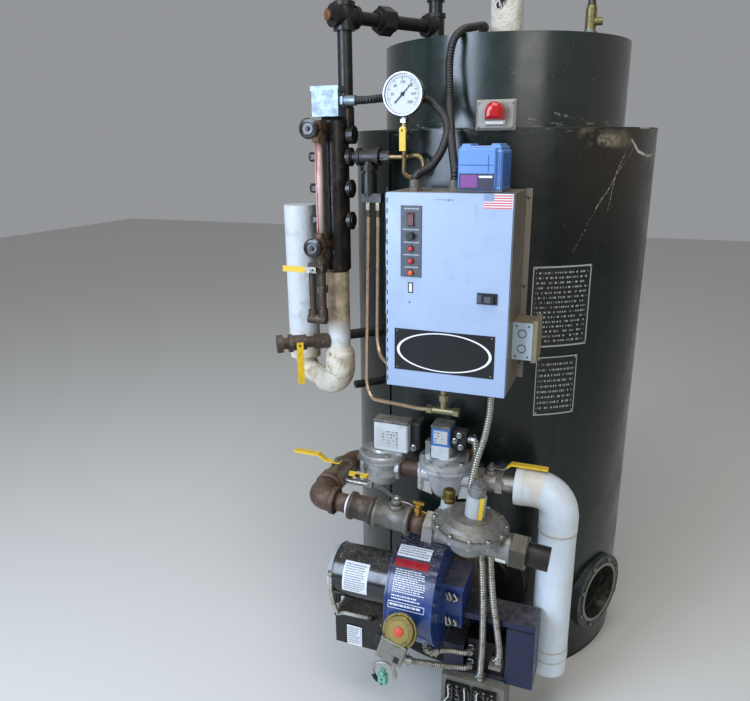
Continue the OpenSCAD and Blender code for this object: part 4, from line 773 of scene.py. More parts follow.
# The long hinge's knuckles show as a row of dark slots down the door's left edge.
for k in range(20):
    marks.append(slab((-111.2, door_face - 0.45, 872 + 20.8 * k), (-109.2, door_face - 0.05, 882 + 20.8 * k)) + (4,))
for x in (-88, 113):
    for z in (904, 984):
        marks.append(lathe_data([(2.0, 0), (1.8, 0.5), (0.6, 0.8)], (x, door_face - 0.8, z), ahead, 10) + (5,))
form = joined(marks)
add_piece("door_plates", form, [plate_black, film_blue, film_red, film_white, dark_ink, screw_zinc], "door")

# Screw heads on the back strip and the side box, hinge pin ends, knockouts.
heads = [lathe_data([(3.6, 0), (3.4, 1.4), (1.6, 2.2)], (148.5, -432.2, z), ahead, 12) for z in (1252, 1067, 896)]
heads += [lathe_data([(2.6, 0), (2.4, 0.9), (1.2, 1.3)], (x, -510.2, z), ahead, 12) for x in (150, 175)
          for z in (934, 999)]
form = joined(heads)
add_piece("cabinet_screws", form, screw_zinc, "boiler", True)
knockout, *_ = worn("dark_knockout", "#2B2A26", 0.6)
holes = [lathe_data([(9, 0), (9, 0.5)], (162, -510.2, z), ahead, 24) for z in (951, 983)]
holes += [lathe_data([(7.2, 0), (7.2, 0.8)], (162, -510.2, z), ahead, 24) for z in (951, 983)]
form = joined([(h[0], h[1], 0 if i < 2 else 1) for i, h in enumerate(holes)])
add_piece("side_box_knockouts", form, [knockout, zinc_cover], "boiler")

# ---------------------------------------------------------------- flame safeguard module and alarm lamp
# The module is moulded blue plastic with a dark film label; the lamp is a red lens over a white
# diffuser on a bevelled grey cover plate with four corner screws.
blue_plastic, *_ = worn("cornflower_blue_plastic", "#5B88C6", 0.38, stain=("#6F99CE", 0.4, 50), dust=("#A4AAB2", 0.4))
label_dark, *_ = worn("dark_film_label", "#2E2A44", 0.35)
label_magenta, *_ = worn("magenta_film", "#7A3A86", 0.35)
seam_blue, *_ = worn("shaded_blue_groove", "#24488C", 0.5)
base_grey, *_ = worn("grey_moulded_base", "#5E656E", 0.5, stain=("#4A5058", 0.4, 12))
front = -547.0
module_parts = [eased_box((25.5, -541.5, 1272), (112, -452, 1346), 2.0) + (0,),
                eased_box((24.5, -540, 1267.4), (113, -450, 1272.5), 0.8) + (4,),
                eased_box((27, front, 1274), (100.5, -538, 1350), 2.2) + (0,),
                eased_box((28, -538, 1343), (109, -455, 1354), 2.0) + (0,),
                eased_box((31, -536, 1352), (49, -470, 1358), 1.5) + (0,),
                eased_box((88, -536, 1352), (106, -470, 1358), 1.5) + (0,),
                slab((30, front - 0.5, 1274), (98, front + 0.1, 1303)) + (1,),
                slab((33, front - 0.8, 1277), (66, front - 0.3, 1300)) + (2,),
                slab((69, front - 0.8, 1295), (95, front - 0.3, 1299)) + (3,),
                slab((30, front - 0.4, 1318), (96, front + 0.1, 1319.4)) + (5,),
                slab((86, front - 0.4, 1305), (87.4, front + 0.1, 1337)) + (5,)]
for x in (102.6, 106.0, 109.2):
    module_parts.append(slab((x, -542.1, 1277), (x + 1.3, -541.0, 1342)) + (5,))
for k in range(6):
    module_parts.append(slab((111.6, -532 + 13 * k, 1277), (112.6, -526 + 13 * k, 1340)) + (5,))
form = joined(module_parts)
module = add_piece("moulded_module", form, [blue_plastic, label_dark, label_magenta, film_white, base_grey,
                                            seam_blue], "boiler")
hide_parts("flame_module")

lamp_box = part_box("alarm_light")
cover_x = (lamp_box[0].x * 1000, lamp_box[1].x * 1000)
grey_cover, *_ = worn("grey_cast_cover", "#8D8A84", 0.5, 0.3, stain=("#76736B", 0.4, 14))
white_diffuser, *_ = worn("white_diffuser", "#DEDCD6", 0.45)
red_glass, tree, shader = blank("red_ribbed_lens")
shader.inputs["Base Color"].default_value = linear("#B01A1E")
shader.inputs["Roughness"].default_value = 0.12
shader.inputs["Subsurface Weight"].default_value = 0.15
shader.inputs["Subsurface Radius"].default_value = (0.01, 0.003, 0.002)
middle = (cover_x[0] + cover_x[1]) / 2 + 1
lens_y = -394.0
lens_steps = 22
arch = [(middle - 19, 1404)] + [(middle - 19 * math.cos(math.pi * k / lens_steps),
                                 1421.5 + 19 * math.sin(math.pi * k / lens_steps)) for k in range(lens_steps + 1)]
arch += [(middle + 19, 1404)]
rings = ((0, 1.0), (24, 0.97), (30, 0.86), (34, 0.62), (35.5, 0.3))
arch_points = [(middle + (x - middle) * s, lens_y - d, 1418 + (z - 1418) * s) for d, s in rings for x, z in arch]
count = len(arch)
arch_faces = [(i * count + k, i * count + (k + 1) % count, (i + 1) * count + (k + 1) % count, (i + 1) * count + k)
              for i in range(len(rings) - 1) for k in range(count)]
arch_faces.append(tuple((len(rings) - 1) * count + k for k in range(count)))
cover_low, cover_high = (cover_x[0], lens_y - 0.5, 1384), (cover_x[1], lens_y + 4, 1445)
box_low, box_high = (cover_x[0] + 4, lens_y + 3, 1390.4), (cover_x[1] - 4, -345, 1443)
lamp_parts = [slab(cover_low, cover_high, 5.0) + (0,), slab(box_low, box_high) + (0,),
              slab((middle - 20, lens_y - 14, 1394), (middle + 20, lens_y, 1405), 2.0) + (1,),
              (arch_points, arch_faces, 2)]
for x, z in ((cover_x[0] + 7, 1391), (cover_x[1] - 7, 1438), (cover_x[0] + 7, 1438), (cover_x[1] - 7, 1391)):
    lamp_parts.append(lathe_data([(2.6, 0), (2.4, 1.2), (1.2, 1.6)], (x, lens_y - 0.3, z), ahead, 12) + (3,))
form = joined(lamp_parts)
lamp = add_piece("alarm_lamp_assembly", form, [grey_cover, white_diffuser, red_glass, screw_zinc], "boiler")
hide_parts("alarm_light")

# ---------------------------------------------------------------- rear gas run
# Cast aluminium safety valves with white and blue actuators between rusty nipples, a ball valve
# with a yellow lever at each end, and the riser in a white plastic jacket, yellowed at its laps.
cast_metal = dict(stain=("#8A8880", 0.4, 22), dust=("#9B968A", 0.4), bump=(0.35, 1.6))
first_cast, *_ = worn("grey_cast_aluminium", "#AEB0B0", 0.36, 0.6, **cast_metal)
second_cast, *_ = worn("pale_cast_aluminium", "#BCBEBE", 0.34, 0.5, **cast_metal)
actuator_white, *_ = worn("white_moulded_actuator", "#C3C8CB", 0.38, stain=("#A9ABA8", 0.4, 18))
actuator_blue, *_ = worn("blue_moulded_actuator", "#3A70B0", 0.36, stain=("#2F5A94", 0.4, 14), dust=("#8E8F90", 0.4))
dusty_lid, *_ = worn("dusty_dark_lid", "#4A4844", 0.55, stain=("#77736A", 0.5, 10), dust=("#8B877C", 0.7))
coil_black, *_ = worn("black_coil_moulding", "#1B1C1E", 0.4, dust=("#5E5A52", 0.6))
paper_brown, *_ = worn("brown_fibre_plate", "#6E4E33", 0.6, stain=("#553A26", 0.4, 6))


def cast_body(x, back, profile, half, stub, plate_low, plate_high, eased):
    """A valve's domed body and its two end plates, on the run's pipe."""
    points, faces = lathe_data(profile, (x, -440, 602), upward, 48)
    made = [([(px, min(py, back), pz) for px, py, pz in points], faces),
            lathe_data([(stub, -half + 1), (stub, half - 1)], (x, -440, 602), (1, 0, 0), 32)]
    for side in (-1, 1):
        ends = sorted((x + side * half, x + side * (half - plate_high)))
        if eased:
            made.append(eased_box((ends[0], -466, plate_low), (ends[1], -412, 634), 5))
        else:
            made.append(lathe_data([(30, 0), (34, 1.8), (34, plate_high - 1.8), (31, plate_high)],
                                   (ends[0], -440, 602),
                                   (1, 0, 0), 8))
    return made


first_parts = [part + (0,) for part in cast_body(-172, -386, (
    (18, -45), (33, -44), (41, -36), (45, -18), (43, -2), (46, 12), (58.5, 19), (58.5, 25.5), (56, 26.5), (56, 28.5),
    (58.5, 29.5), (58.5, 35), (55, 38), (30, 40), (27, 46)), 51, 25, 0, 12, False)]
for x in (-212, -145):
    first_parts.append(eased_box((x, -447, 577), (x + 13, -433, 627), 2.5) + (0,))
first_parts += [eased_box((-165, -462, 638), (-115, -438, 654), 2) + (0,),
                eased_box((-183, -474, 653), (-98, -437, 727), 3) + (1,),
                eased_box((-184.5, -475.5, 725), (-96.5, -435.5, 731.5), 1.5) + (3,),
                eased_box((-99, -452, 656), (-74, -400, 724), 3) + (5,),
                slab((-176, -474.7, 664), (-122, -473.9, 706)) + (2,),
                lathe_data([(8, 0), (8, 7), (5.5, 8), (5.5, 14)], (-88, -451, 664), ahead, 16) + (4,)]
for k in range(4):
    a = 0.6 + math.tau * k / 4
    first_parts.append(lathe_data([(6, 0), (6, 5), (5, 6)], (-172 + 49 * math.cos(a), -440 + 49 * math.sin(a), 639),
                                  (0, 0, 1), 6) + (4,))
valve_print = printed("grey_printed_film", "#B9BBBA", "#55585A", (-176, 664), (2, 730), 9, 0.3)
form = joined(first_parts)
first_valve = add_piece("first_cast_valve", form, [first_cast, actuator_white, valve_print, dusty_lid, zinc_plate,
                                                   coil_black], "boiler")
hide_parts("first_gas_valve")

second_parts = [part + (0,) for part in cast_body(-8, -386, (
    (18, -52), (30, -50), (36, -42), (50, 4), (55, 16), (67, 24), (67, 31), (64.5, 32), (64.5, 35), (67, 36),
    (67, 45), (62, 48), (34, 50), (30, 55)), 67.5, 26, 558, 13, True)]
for side in (-1, 1):
    rib = [(-8 + side * x, y, z) for x, z in ((62, 632), (47, 634), (62, 558), (32, 550)) for y in (-458, -444)]
    second_parts.append(hulled(rib) + (0,))
second_parts += [eased_box((-40, -472.5, 653), (3.5, -425, 685), 1.5) + (1,),
                 eased_box((-40.5, -473, 684), (4, -425, 730), 2.5) + (6,),
                 eased_box((-41.5, -474, 729), (5, -424, 735.5), 1.5) + (3,),
                 eased_box((3, -456, 676), (40, -426, 722), 2.5) + (5,),
                 slab((43, -462, 644), (47, -418, 675)) + (7,),
                 eased_box((-58, -462, 646), (-44, -440, 690), 1.5) + (4,),
                 slab((-34, -473.7, 692), (-1, -472.9, 724)) + (2,)]
for k in range(5):
    a = 0.35 + math.pi + math.tau * k / 9
    second_parts.append(lathe_data([(6, 0), (6, 5), (5, 6)], (-8 + 57 * math.cos(a), -440 + 57 * math.sin(a), 648.5),
                                   (0, 0, 1), 6) + (4,))
for x, z in ((14, 700), (28, 686), (24, 715)):
    second_parts.append(lathe_data([(7, 0), (7, 8), (5, 9), (5, 14)], (x, -455, z), ahead, 12) + (4,))
form = joined(second_parts)
second_valve = add_piece("second_cast_valve", form, [second_cast, actuator_white, valve_print, dusty_lid,
                                                     zinc_plate, coil_black, actuator_blue, paper_brown], "boiler")
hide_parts("second_gas_valve")
rusty_iron, *_ = worn("rusty_malleable_iron", "#46352B", 0.48, 0.35, stain=("#5E4638", 0.5, 24),
                      dust=("#80705F", 0.35), bump=(0.5, 2.2))
dress(rusty_iron, "rear_gas_pipe")
ball_nickel, *_ = worn("tarnished_nickel_plate", "#83796B", 0.4, 0.85, stain=("#5B4C3C", 0.5, 16),
                       dust=("#8B8070", 0.5))
bright_nickel, *_ = worn("dusty_bright_nickel", "#A6A299", 0.36, 0.8, stain=("#746C5F", 0.5, 14),
                         dust=("#938A7B", 0.5))
dress(ball_nickel, "inlet_valve")
dress(bright_nickel, "riser_valve")

# Pin nuts of the two ball valves' levers.
for name, body, x, y in (("riser_lever_nut", "riser_lever", 98, -440),
                         ("inlet_lever_nut", "inlet_lever", -250, -542)):
    form = joined([lathe_data([(7.5, 0), (7.5, 4), (6, 5.5)], (x, y, 640.2), upward, 6),
                   lathe_data([(4, 5), (4, 9), (3, 10)], (x, y, 640.2), upward, 10)])
    add_piece(name, form, screw_zinc, body)

jacket, tree, shader, colour = worn("white_pipe_jacket", "#CEDBE6", 0.28, stain=("#C9CDD0", 0.4, 80),
                                    dust=("#B8AE97", 0.5))
parts = axes(tree)
edge_of = ramped(tree, math_of(tree, "ABSOLUTE", math_of(tree, "SUBTRACT", parts[0], 0.256)), 0.028, 0.043)
aged = times(tree, edge_of, ramped(tree, cloud(tree, 60, 4.0, (1, 1, 0.3)), 0.35, 0.6))
colour = tone(tree, colour, "#C9B48C", times(tree, aged, 0.5))
laps = math_of(tree, "MAXIMUM", inside(tree, (200, -500, 506), (310, -380, 512)),
               inside(tree, (200, -500, 167), (310, -380, 172)))
laps = math_of(tree, "MAXIMUM", laps, inside(tree, (200, -500, 196), (310, -380, 199)))
colour = tone(tree, colour, "#A98F66", times(tree, laps, 0.6))
tree.links.new(colour, shader.inputs["Base Color"])
shader.inputs["Subsurface Weight"].default_value = 0.08
shader.inputs["Subsurface Radius"].default_value = (0.01, 0.01, 0.01)
dress(jacket, "gas_riser")

# ---------------------------------------------------------------- front gas run and regulator
# The run dips a little to the right: a rusty elbow with white thread tape, a coupling, a galvanised
# tee with a plug, and a die-cast regulator whose round diaphragm case is bolted at its rim.
run_dip = math.radians(5)
run_along = Vector((math.cos(run_dip), 0, -math.sin(run_dip)))
run_up = Vector((math.sin(run_dip), 0, math.cos(run_dip)))


def at_run(s, y, z):
    """A place along the front run, in millimetres."""
    return tuple(Vector((-250, -645, 602)) + run_along * s + Vector((0, y, 0)) + run_up * z)


def rounded(points, turn):
    """A route whose corners are rounded as the part's tubes are."""
    route, steps = [Vector(points[0])], 6
    for a, b, c in zip(points, points[1:], points[2:]):
        a, b, c = Vector(a), Vector(b), Vector(c)
        cut = min(turn, (b - a).length / 2.1, (c - b).length / 2.1)
        p, q = b + (a - b).normalized() * cut, b + (c - b).normalized() * cut
        for k in range(steps + 1):
            t = k / steps
            route.append(p * (1 - t) ** 2 + b * 2 * t * (1 - t) + q * t * t)
    route.append(Vector(points[-1]))
    return route


def tube_data(points, radius, turn, sides=10, pitch=0.0, depth=0.0):
    """A tube along a rounded route; with a pitch it is ribbed by grooves of that depth."""
    route = rounded(points, turn)
    lengths = [0.0]
    for a, b in zip(route, route[1:]):
        lengths.append(lengths[-1] + (b - a).length)
    if pitch:
        count = max(2, round(lengths[-1] / pitch))
        marks = [(k + part) * lengths[-1] / count for k in range(count) for part in (0.0, 0.5, 0.6, 0.9)]
        marks = [(s, radius if i % 4 < 2 else radius - depth) for i, s in enumerate(marks)] + [(lengths[-1], radius)]
    else:
        marks = [(s, radius) for s in lengths]
    rings, faces, step, side = [], [], 0, None
    for s, r in marks:
        while step < len(route) - 2 and lengths[step + 1] < s:
            step += 1
        a, b = route[step], route[step + 1]
        heading = (b - a).normalized()
        here = a + heading * (s - lengths[step])
        side = heading.orthogonal() if side is None else side - heading * side.dot(heading)
        side = side.normalized()
        other = heading.cross(side)
        rings += [tuple(here + (side * math.cos(math.tau * k / sides) + other * math.sin(math.tau * k / sides)) * r)
                  for k in range(sides)]
    for i in range(len(marks) - 1):
        for k in range(sides):
            j = (k + 1) % sides
            faces.append((i * sides + k, i * sides + j, (i + 1) * sides + j, (i + 1) * sides + k))
    faces.append(tuple(reversed(range(sides))))
    faces.append(tuple((len(marks) - 1) * sides + k for k in range(sides)))
    return rings, faces


front_iron, *_ = worn("rusty_elbow_iron", "#4C392E", 0.46, 0.3, stain=("#64493A", 0.5, 26),
                      dust=("#80705F", 0.35), bump=(0.5, 2.2))
coupling_iron, *_ = worn("dark_coupling_iron", "#3A322B", 0.46, 0.35, stain=("#2F2A25", 0.4, 18),
                         dust=("#80705F", 0.4), bump=(0.3, 2))
galvanised, *_ = worn("galvanised_tee", "#63635E", 0.45, 0.5, stain=("#403E39", 0.5, 16), dust=("#8F8677", 0.4))
elbow = [at_run(0, 59.7, 0), at_run(0, 0, 0), at_run(46, 0, 0)]
front_parts = [tube_data(elbow, 27, 32, 36) + (0,),
               lathe_data([(28, 0), (31, 1.5), (31, 10.5), (29, 12)], at_run(0, 59.7, 0), ahead, 36) + (0,),
               lathe_data([(29, 0), (31, 1.5), (31, 10.5), (29, 12)], at_run(34, 0, 0), run_along, 36) + (0,),
               lathe_data([(21, 0), (21, 42)], at_run(40, 0, 0), run_along, 32) + (0,)]
for s, end, radius, band, wide, kind in ((79, 138, 27, 31, 10, 1), (138, 220, 28, 32, 9, 2)):
    front_parts.append(lathe_data([(radius - 5, 0), (band, 1), (band, wide - 1), (radius, wide + 1.5),
                                   (radius, end - s - wide - 1.5),
                                   (band, end - s - wide + 1), (band, end - s - 1), (radius - 5, end - s)],
                                  at_run(s, 0, 0), run_along, 36) + (kind,))
front_parts += [lathe_data([(17, 18), (17, 31), (14, 33)], at_run(184, 0, 0), run_up, 28) + (2,),
                lathe_data([(13.5, 32), (13.5, 42), (11, 44)], at_run(184, 0, 0), run_up, 6) + (2,),
                lathe_data([(8, 43), (8, 50), (5, 52)], at_run(184, 0, 0), run_up, 6) + (3,),
                lathe_data([(21, 0), (21, 35.5)], at_run(218, 0, 0), run_along, 32) + (0,)]
form = joined(front_parts)
front_pipe = add_piece("elbow_coupling_and_tee", form, [front_iron, coupling_iron, galvanised, zinc_plate],
                       "boiler", True)
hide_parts("front_gas_pipe")
tape_white, *_ = worn("white_thread_tape", "#D5D8D8", 0.6, stain=("#8F8A80", 0.4, 8))
form = lathe_data([(21.6, 0), (22.4, 1), (22.2, 5), (21.6, 6)], at_run(72.6, 0, 0), run_along, 40)
add_piece("thread_tape", form, tape_white, "boiler", True)

die_cast, tree, shader, colour = worn("dusty_die_cast_zinc", "#868786", 0.4, 0.6, stain=("#5F5C55", 0.5, 11),
                                      dust=("#6F675A", 0.7), bump=(0.3, 1.4))
far_x = axes(tree)
nut_part = times(tree, ramped(tree, far_x[0], 0.184, 0.186), ramped(tree, far_x[0], 0.2165, 0.2155))
plug_part = ramped(tree, far_x[0], 0.216, 0.217)
colour = tone(tree, colour, "#4A463E", nut_part)
colour = tone(tree, colour, "#2A2825", plug_part)
tree.links.new(colour, shader.inputs["Base Color"])
dress(die_cast, "regulator")
rim_bolts = []
for k in range(12):
    a = math.tau * (k + 0.4) / 12
    foot = at_run(347 + 74.5 * math.cos(a), 74.5 * math.sin(a), 35.5)
    rim_bolts.append(lathe_data([(5, 0), (5, 4.2), (4, 5.2)], foot, run_up, 6))
    rim_bolts.append(lathe_data([(5, 0), (5, 4.6)], at_run(347 + 74.5 * math.cos(a), 74.5 * math.sin(a), 19.5),
                                run_up, 6))
form = joined(rim_bolts)
add_piece("diaphragm_bolts", form, zinc_plate, "boiler")
cap_grey, *_ = worn("pale_spring_tube_enamel", "#A6ABAF", 0.35, stain=("#8E8A7F", 0.4, 14))
cap_dark, *_ = worn("grey_domed_cap", "#77797A", 0.38, 0.3, stain=("#4D4C49", 0.5, 9))
olive_brass, *_ = worn("olive_brass_plug", "#6F6338", 0.4, 0.9, stain=("#4B4324", 0.5, 6))
strip_yellow, *_ = worn("yellow_tag_film", "#D8B426", 0.45)
regulator_parts = [lathe_data([(20.6, 0), (20.6, 45), (19.2, 46.5)], at_run(353, 0, 56), run_up, 40) + (0,),
                   lathe_data([(17.6, 0), (17.6, 16), (15.5, 19), (15.4, 24), (8, 26)], at_run(353, 0, 103), run_up,
                              40) + (1,),
                   lathe_data([(15, 0), (15, 7), (13.5, 9), (13.5, 24), (10, 28), (4, 29)], at_run(290, 25, 57),
                              run_up, 12) + (2,),
                   lathe_data([(14.4, 0), (14.4, 22)], at_run(289, 25, 40), run_up, 30) + (0,)]
form = joined(regulator_parts)
add_piece("regulator_caps", form, [cap_grey, cap_dark, olive_brass], "boiler")
tag = [at_run(364, -21.5, 58), at_run(372, -18.5, 58), at_run(372, -18.5, 108), at_run(364, -21.5, 108)]
tag += [tuple(Vector(p) + Vector((0, 0.8, 0))) for p in tag]
add_piece("spring_tube_tag", (tag, [(0, 1, 2, 3), (7, 6, 5, 4), (0, 4, 5, 1), (1, 5, 6, 2), (2, 6, 7, 3),
                                    (3, 7, 4, 0)]),
          strip_yellow, "boiler")
outlet_film = printed("white_outlet_film", "#D9DAD7", "#6B6E70", (165, 560), (190, 590), 4, 0.3)
label_points = []
for k in range(7):
    a = math.radians(200 + 70 * k / 6)
    for s in (411, 432):
        label_points.append(at_run(s, 31.5 * math.cos(a), 31.5 * math.sin(a)))
label_faces = [(2 * k, 2 * k + 1, 2 * k + 3, 2 * k + 2) for k in range(6)]
add_piece("outlet_label", (label_points, label_faces), outlet_film, "boiler")
pilot_brass, tree, shader, colour = worn("dull_pilot_brass", "#A8883F", 0.34, 0.9, stain=("#7C6531", 0.4, 8))
left_part = inside(tree, (-300, -700, 560), (-36, -500, 640))
colour = tone(tree, colour, "#8F8E88", left_part)
tree.links.new(colour, shader.inputs["Base Color"])
dress(pilot_brass, "pilot_line")
form = joined([slab((-214, -562, 616.5), (-194, -550, 626), 2.5), slab((-186, -562, 616.5), (-166, -550, 626), 2.5),
               slab((-197, -560, 615.8), (-183, -552, 624.6), 1.5)])
add_piece("pilot_cock_handle", form, yellow_vinyl, "boiler")
copper_aged, tree, shader, colour = worn("aged_copper", "#CDB093", 0.36, 0.8, stain=("#94765E", 0.3, 16))
brass_part = inside(tree, (-39.5, -525, 770), (36, -495, 862))
colour = tone(tree, colour, "#8F8867", brass_part)
high_nuts = ramped(tree, axes(tree)[2],
                   1.196, 1.198)
tree.links.new(tone(tree, colour, "#6E6754", high_nuts), shader.inputs["Base Color"])
dress(copper_aged, "copper_lines")

# ---------------------------------------------------------------- burner
# The gas power burner: blue enamelled blower and open panel, a gloss black motor with a bright end
# bell, black ignition box, plated switch disc, and relay box with terminal strips, all dusty.
burner_dust = dict(dust=("#6F675A", 0.6))


def flecked(tree, colour, share=0.75, size_mm=6):
    """Scatters pale flecks of fallen lagging on what faces up."""
    up = rise_of(tree)
    spots = times(tree, ramped(tree, up, 0.3, 0.75), ramped(tree, cloud(tree, size_mm, 2.0), 0.655, 0.69))
    return tone(tree, colour, "#B5AFA1", times(tree, spots, share))


blower_blue, tree, shader, colour = worn("blue_gloss_enamel", "#223F7C", 0.22, stain=("#1B2C55", 0.45, 40), coat=0.4,
                                         **burner_dust)
up = rise_of(tree)
grime = times(tree, ramped(tree, up, 0.55, 0.98), ramped(tree, cloud(tree, 9, 7.0), 0.38, 0.5))
colour = tone(tree, colour, "#1B1A1B", times(tree, grime, 0.9))
tree.links.new(flecked(tree, colour, 0.5), shader.inputs["Base Color"])
dress(blower_blue, "blower_housing")
# The open panel's blue is painted nearly black: painted shade for the shadow the panel stands in.
shaded_panel_blue, *_ = worn("blue_panel_enamel_darkened_as_shade", "#0F1B3D", 0.32, stain=("#0C142A", 0.5, 40), **burner_dust)
dress(shaded_panel_blue, "burner_cabinet")
head_blue, tree, shader, colour = worn("dusty_blue_and_brown_enamel", "#213B78", 0.34, stain=("#1D3060", 0.5, 30),
                                       dust=("#6A6356", 1.0))
air_part = inside(tree, (24, -484, 236), (96, -396, 434))
air_brown = tone(tree, "#4C463C", "#7D7362", ramped(tree, cloud(tree, 20, 6.0), 0.42, 0.68))
# The blast tube beyond the blower is painted near-black, dusted on top: painted shade for the dark shadow beside the
# blower.
tube_shade_part = inside(tree, (-20, -470, 215), (160, -200, 385))
colour = tone(tree, colour, dusted(tree, "#101113", "#77705F", 0.7), tube_shade_part)
tree.links.new(tone(tree, colour, air_brown, air_part), shader.inputs["Base Color"])
dress(head_blue, "burner_head")
motor_black, tree, shader, colour = worn("gloss_black_motor_enamel", "#0E1216", 0.16, stain=("#14171B", 0.3, 30),
                                         dust=("#5B564E", 0.5), coat=0.5)
along_x = axes(tree)[0]
bell = math_of(tree, "MAXIMUM", math_of(tree, "LESS_THAN", along_x, -0.2435),
               between(tree, along_x, -0.1005, -0.0935))
tree.links.new(tone(tree, flecked(tree, colour, 0.8, 4), "#C4C8CA", bell), shader.inputs["Base Color"])
tree.links.new(times(tree, bell, 0.4), shader.inputs["Metallic"])
dress(motor_black, "burner_motor")
box_black, tree, shader, colour = worn("black_box_enamel", "#141416", 0.3, stain=("#232325", 0.4, 24),
                                       dust=("#6E675B", 0.85))
tree.links.new(flecked(tree, colour, 0.6), shader.inputs["Base Color"])
dress(box_black, "ignition_box")
switch_gold, *_ = worn("yellow_chromate_plate", "#77673A", 0.36, 0.95, stain=("#6E6038", 0.5, 14),
                       dust=("#8E8466", 0.4))
leaning_grey, *_ = worn("dusty_grey_switch_box", "#82807A", 0.42, 0.35, stain=("#625F57", 0.4, 12),
                        dust=("#9B968A", 0.6))
switch_out = Vector((0, -math.cos(math.radians(25)), math.sin(math.radians(25))))
switch_mid = Vector((-32, -712, 353))
switch_up = Vector((0, math.sin(math.radians(25)), math.cos(math.radians(25))))
box_turn = Matrix.Rotation(math.radians(16), 3, "Y")


def leaning(low, high, ease, kind):
    """A part of the leaning box, given round its middle."""
    points, faces = eased_box(low, high, ease)
    return [tuple(Vector((-46, -715.3, 309)) + box_turn @ Vector(p)) for p in points], faces, kind


switch_parts = [lathe_data([(20, -14), (30, -14), (34, -8), (34, -3), (38, -3), (39, -2), (39, 3), (38, 4), (34, 4),
                            (33, 8.4),
                            (31.5, 9.5)], switch_mid, switch_out, 48) + (0,),
                lathe_data([(9, 0), (9, 44)], switch_mid - switch_out * 12, -switch_out, 20) + (0,),
                leaning((-30, -18, -29), (30, 18, 27), 2.5, 1), leaning((-30.6, -18.6, 25.5), (30.6, 18.6, 29), 1, 2),
                leaning((-27, -18.8, -25), (-24.5, -17.8, 23), 0.2, 2),
                leaning((10, -19.2, -20), (22, -17.6, -4), 0.5, 3),
                leaning((-40, -10, 2), (-29, 10, 20), 2.5, 3),
                lathe_data([(12, 0), (13.5, 1), (13.5, 5), (11, 6), (11, 11), (8, 12)], (-75, -716, 322),
                           (-1, 0, 0.25), 24) + (3,),
                hulled([(-58, -700, 299), (-18, -700, 299), (-58, -660, 304), (-18, -660, 304), (-58, -700, 305),
                        (-18, -700, 305), (-58, -660, 310), (-18, -660, 310)]) + (2,)]
form = joined(switch_parts)
switch = add_piece("air_pressure_switch", form, [switch_gold, leaning_grey, zinc_plate, black_plastic], "boiler")
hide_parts("pressure_switch")
relay_grey, tree, shader, colour = worn("dusty_grey_box_enamel", "#77756E", 0.42, 0.2, stain=("#5C574C", 0.5, 26),
                                        dust=("#8F8776", 0.6))
device_part = inside(tree, (76, -546, 152), (172, -485, 242))
strip_part = inside(tree, (36, -594, 36), (164, -580.5, 141))
dark = math_of(tree, "MAXIMUM", device_part, strip_part)
tree.links.new(tone(tree, colour, "#1B1A1A", dark), shader.inputs["Base Color"])
dress(relay_grey, "relay_box")

blower_axis = (-548.0, 355.0)


def round_blower(x, a, radius=122.0):
    """A place round the blower's axis at an angle in degrees above the front."""
    a = math.radians(a)
    return (x, blower_axis[0] - radius * math.cos(a), blower_axis[1] + radius * math.sin(a))


def patch(surface, x_low, x_high, v_low, v_high, steps=6):
    """A thin film on a surface that gives the place of (x, v)."""
    points = [surface(x, v_low + (v_high - v_low) * k / steps) for k in range(steps + 1) for x in (x_low, x_high)]
    return points, [(2 * k, 2 * k + 1, 2 * k + 3, 2 * k + 2) for k in range(steps)]


def dash_rows(surface, x_low, x_high, v_low, v_high, rows, kind):
    """Rows of short strokes of uneven length that stand for small print, without words."""
    made, full = [], 0.46
    pitch = (v_high - v_low) / rows
    for row in range(rows):
        x = x_low
        end = x_high - random.uniform(0, 0.3) * (x_high - x_low)
        while x < end:
            wide = random.uniform(0.03, 0.12) * (x_high - x_low)
            v = v_low + (row + 0.25) * pitch
            made.append(patch(surface, x, min(x + wide, x_high), v, v + pitch * full, 1) + (kind,))
            x += wide + 0.02 * (x_high - x_low)
    return made


def film_round(radius):
    """The place of (x, angle) on a film that lies round the blower's axis."""
    return lambda x, a: round_blower(x, a, radius)


def film_flat(y):
    """The place of (x, z) on a film that lies flat on a front."""
    return lambda x, z: (x, y, z)


on_blower, over_blower = film_round(122.5), film_round(122.8)
random.seed(21)
blower_films = [patch(on_blower, -77, 0, 78, 63) + (0,), patch(on_blower, -76, 3, 60.2, 51.3) + (1,)]
blower_films += dash_rows(over_blower, -74, -3, 77, 64.5, 4, 2)
blower_films += dash_rows(over_blower, -70, 4, 49.5, 25, 11, 0)
blower_films += dash_rows(over_blower, -70, 4, 23.5, 17.5, 2, 0)
for low, high in ((16.0, 15.2), (9.2, 8.4)):
    blower_films.append(patch(over_blower, -76, 8, low, high, 1) + (0,))
for x in (-76, 6.8):
    blower_films.append(patch(over_blower, x, x + 1.2, 16.0, 8.4, 4) + (0,))
blower_films += dash_rows(over_blower, -72, 3, 15, 10, 1, 0)
form = joined(blower_films)
grey_print, *_ = worn("grey_label_print", "#7F8387", 0.5)
film_scarlet, *_ = worn("scarlet_film", "#A0202C", 0.3)
add_piece("blower_labels", form, [film_white, film_scarlet, grey_print], "boiler")

on_motor, over_motor = film_round(64.6), film_round(64.85)
on_ignition, over_ignition = film_flat(-602.35), film_flat(-602.6)
films = [patch(on_motor, -213, -150, 55, -11, 12) + (0,), patch(on_ignition, -207, -168, 184, 239, 1) + (0,)]
films += dash_rows(over_motor, -208, -156, 51, -8, 12, 1)
films += dash_rows(over_ignition, -202, -173, 188, 236, 8, 1)
for x in (-204.5, -171.5):
    films.append(patch(over_ignition, x, x + 1, 186, 237, 1) + (1,))
form = joined(films)
add_piece("motor_and_box_labels", form, [film_white, grey_print], "boiler")

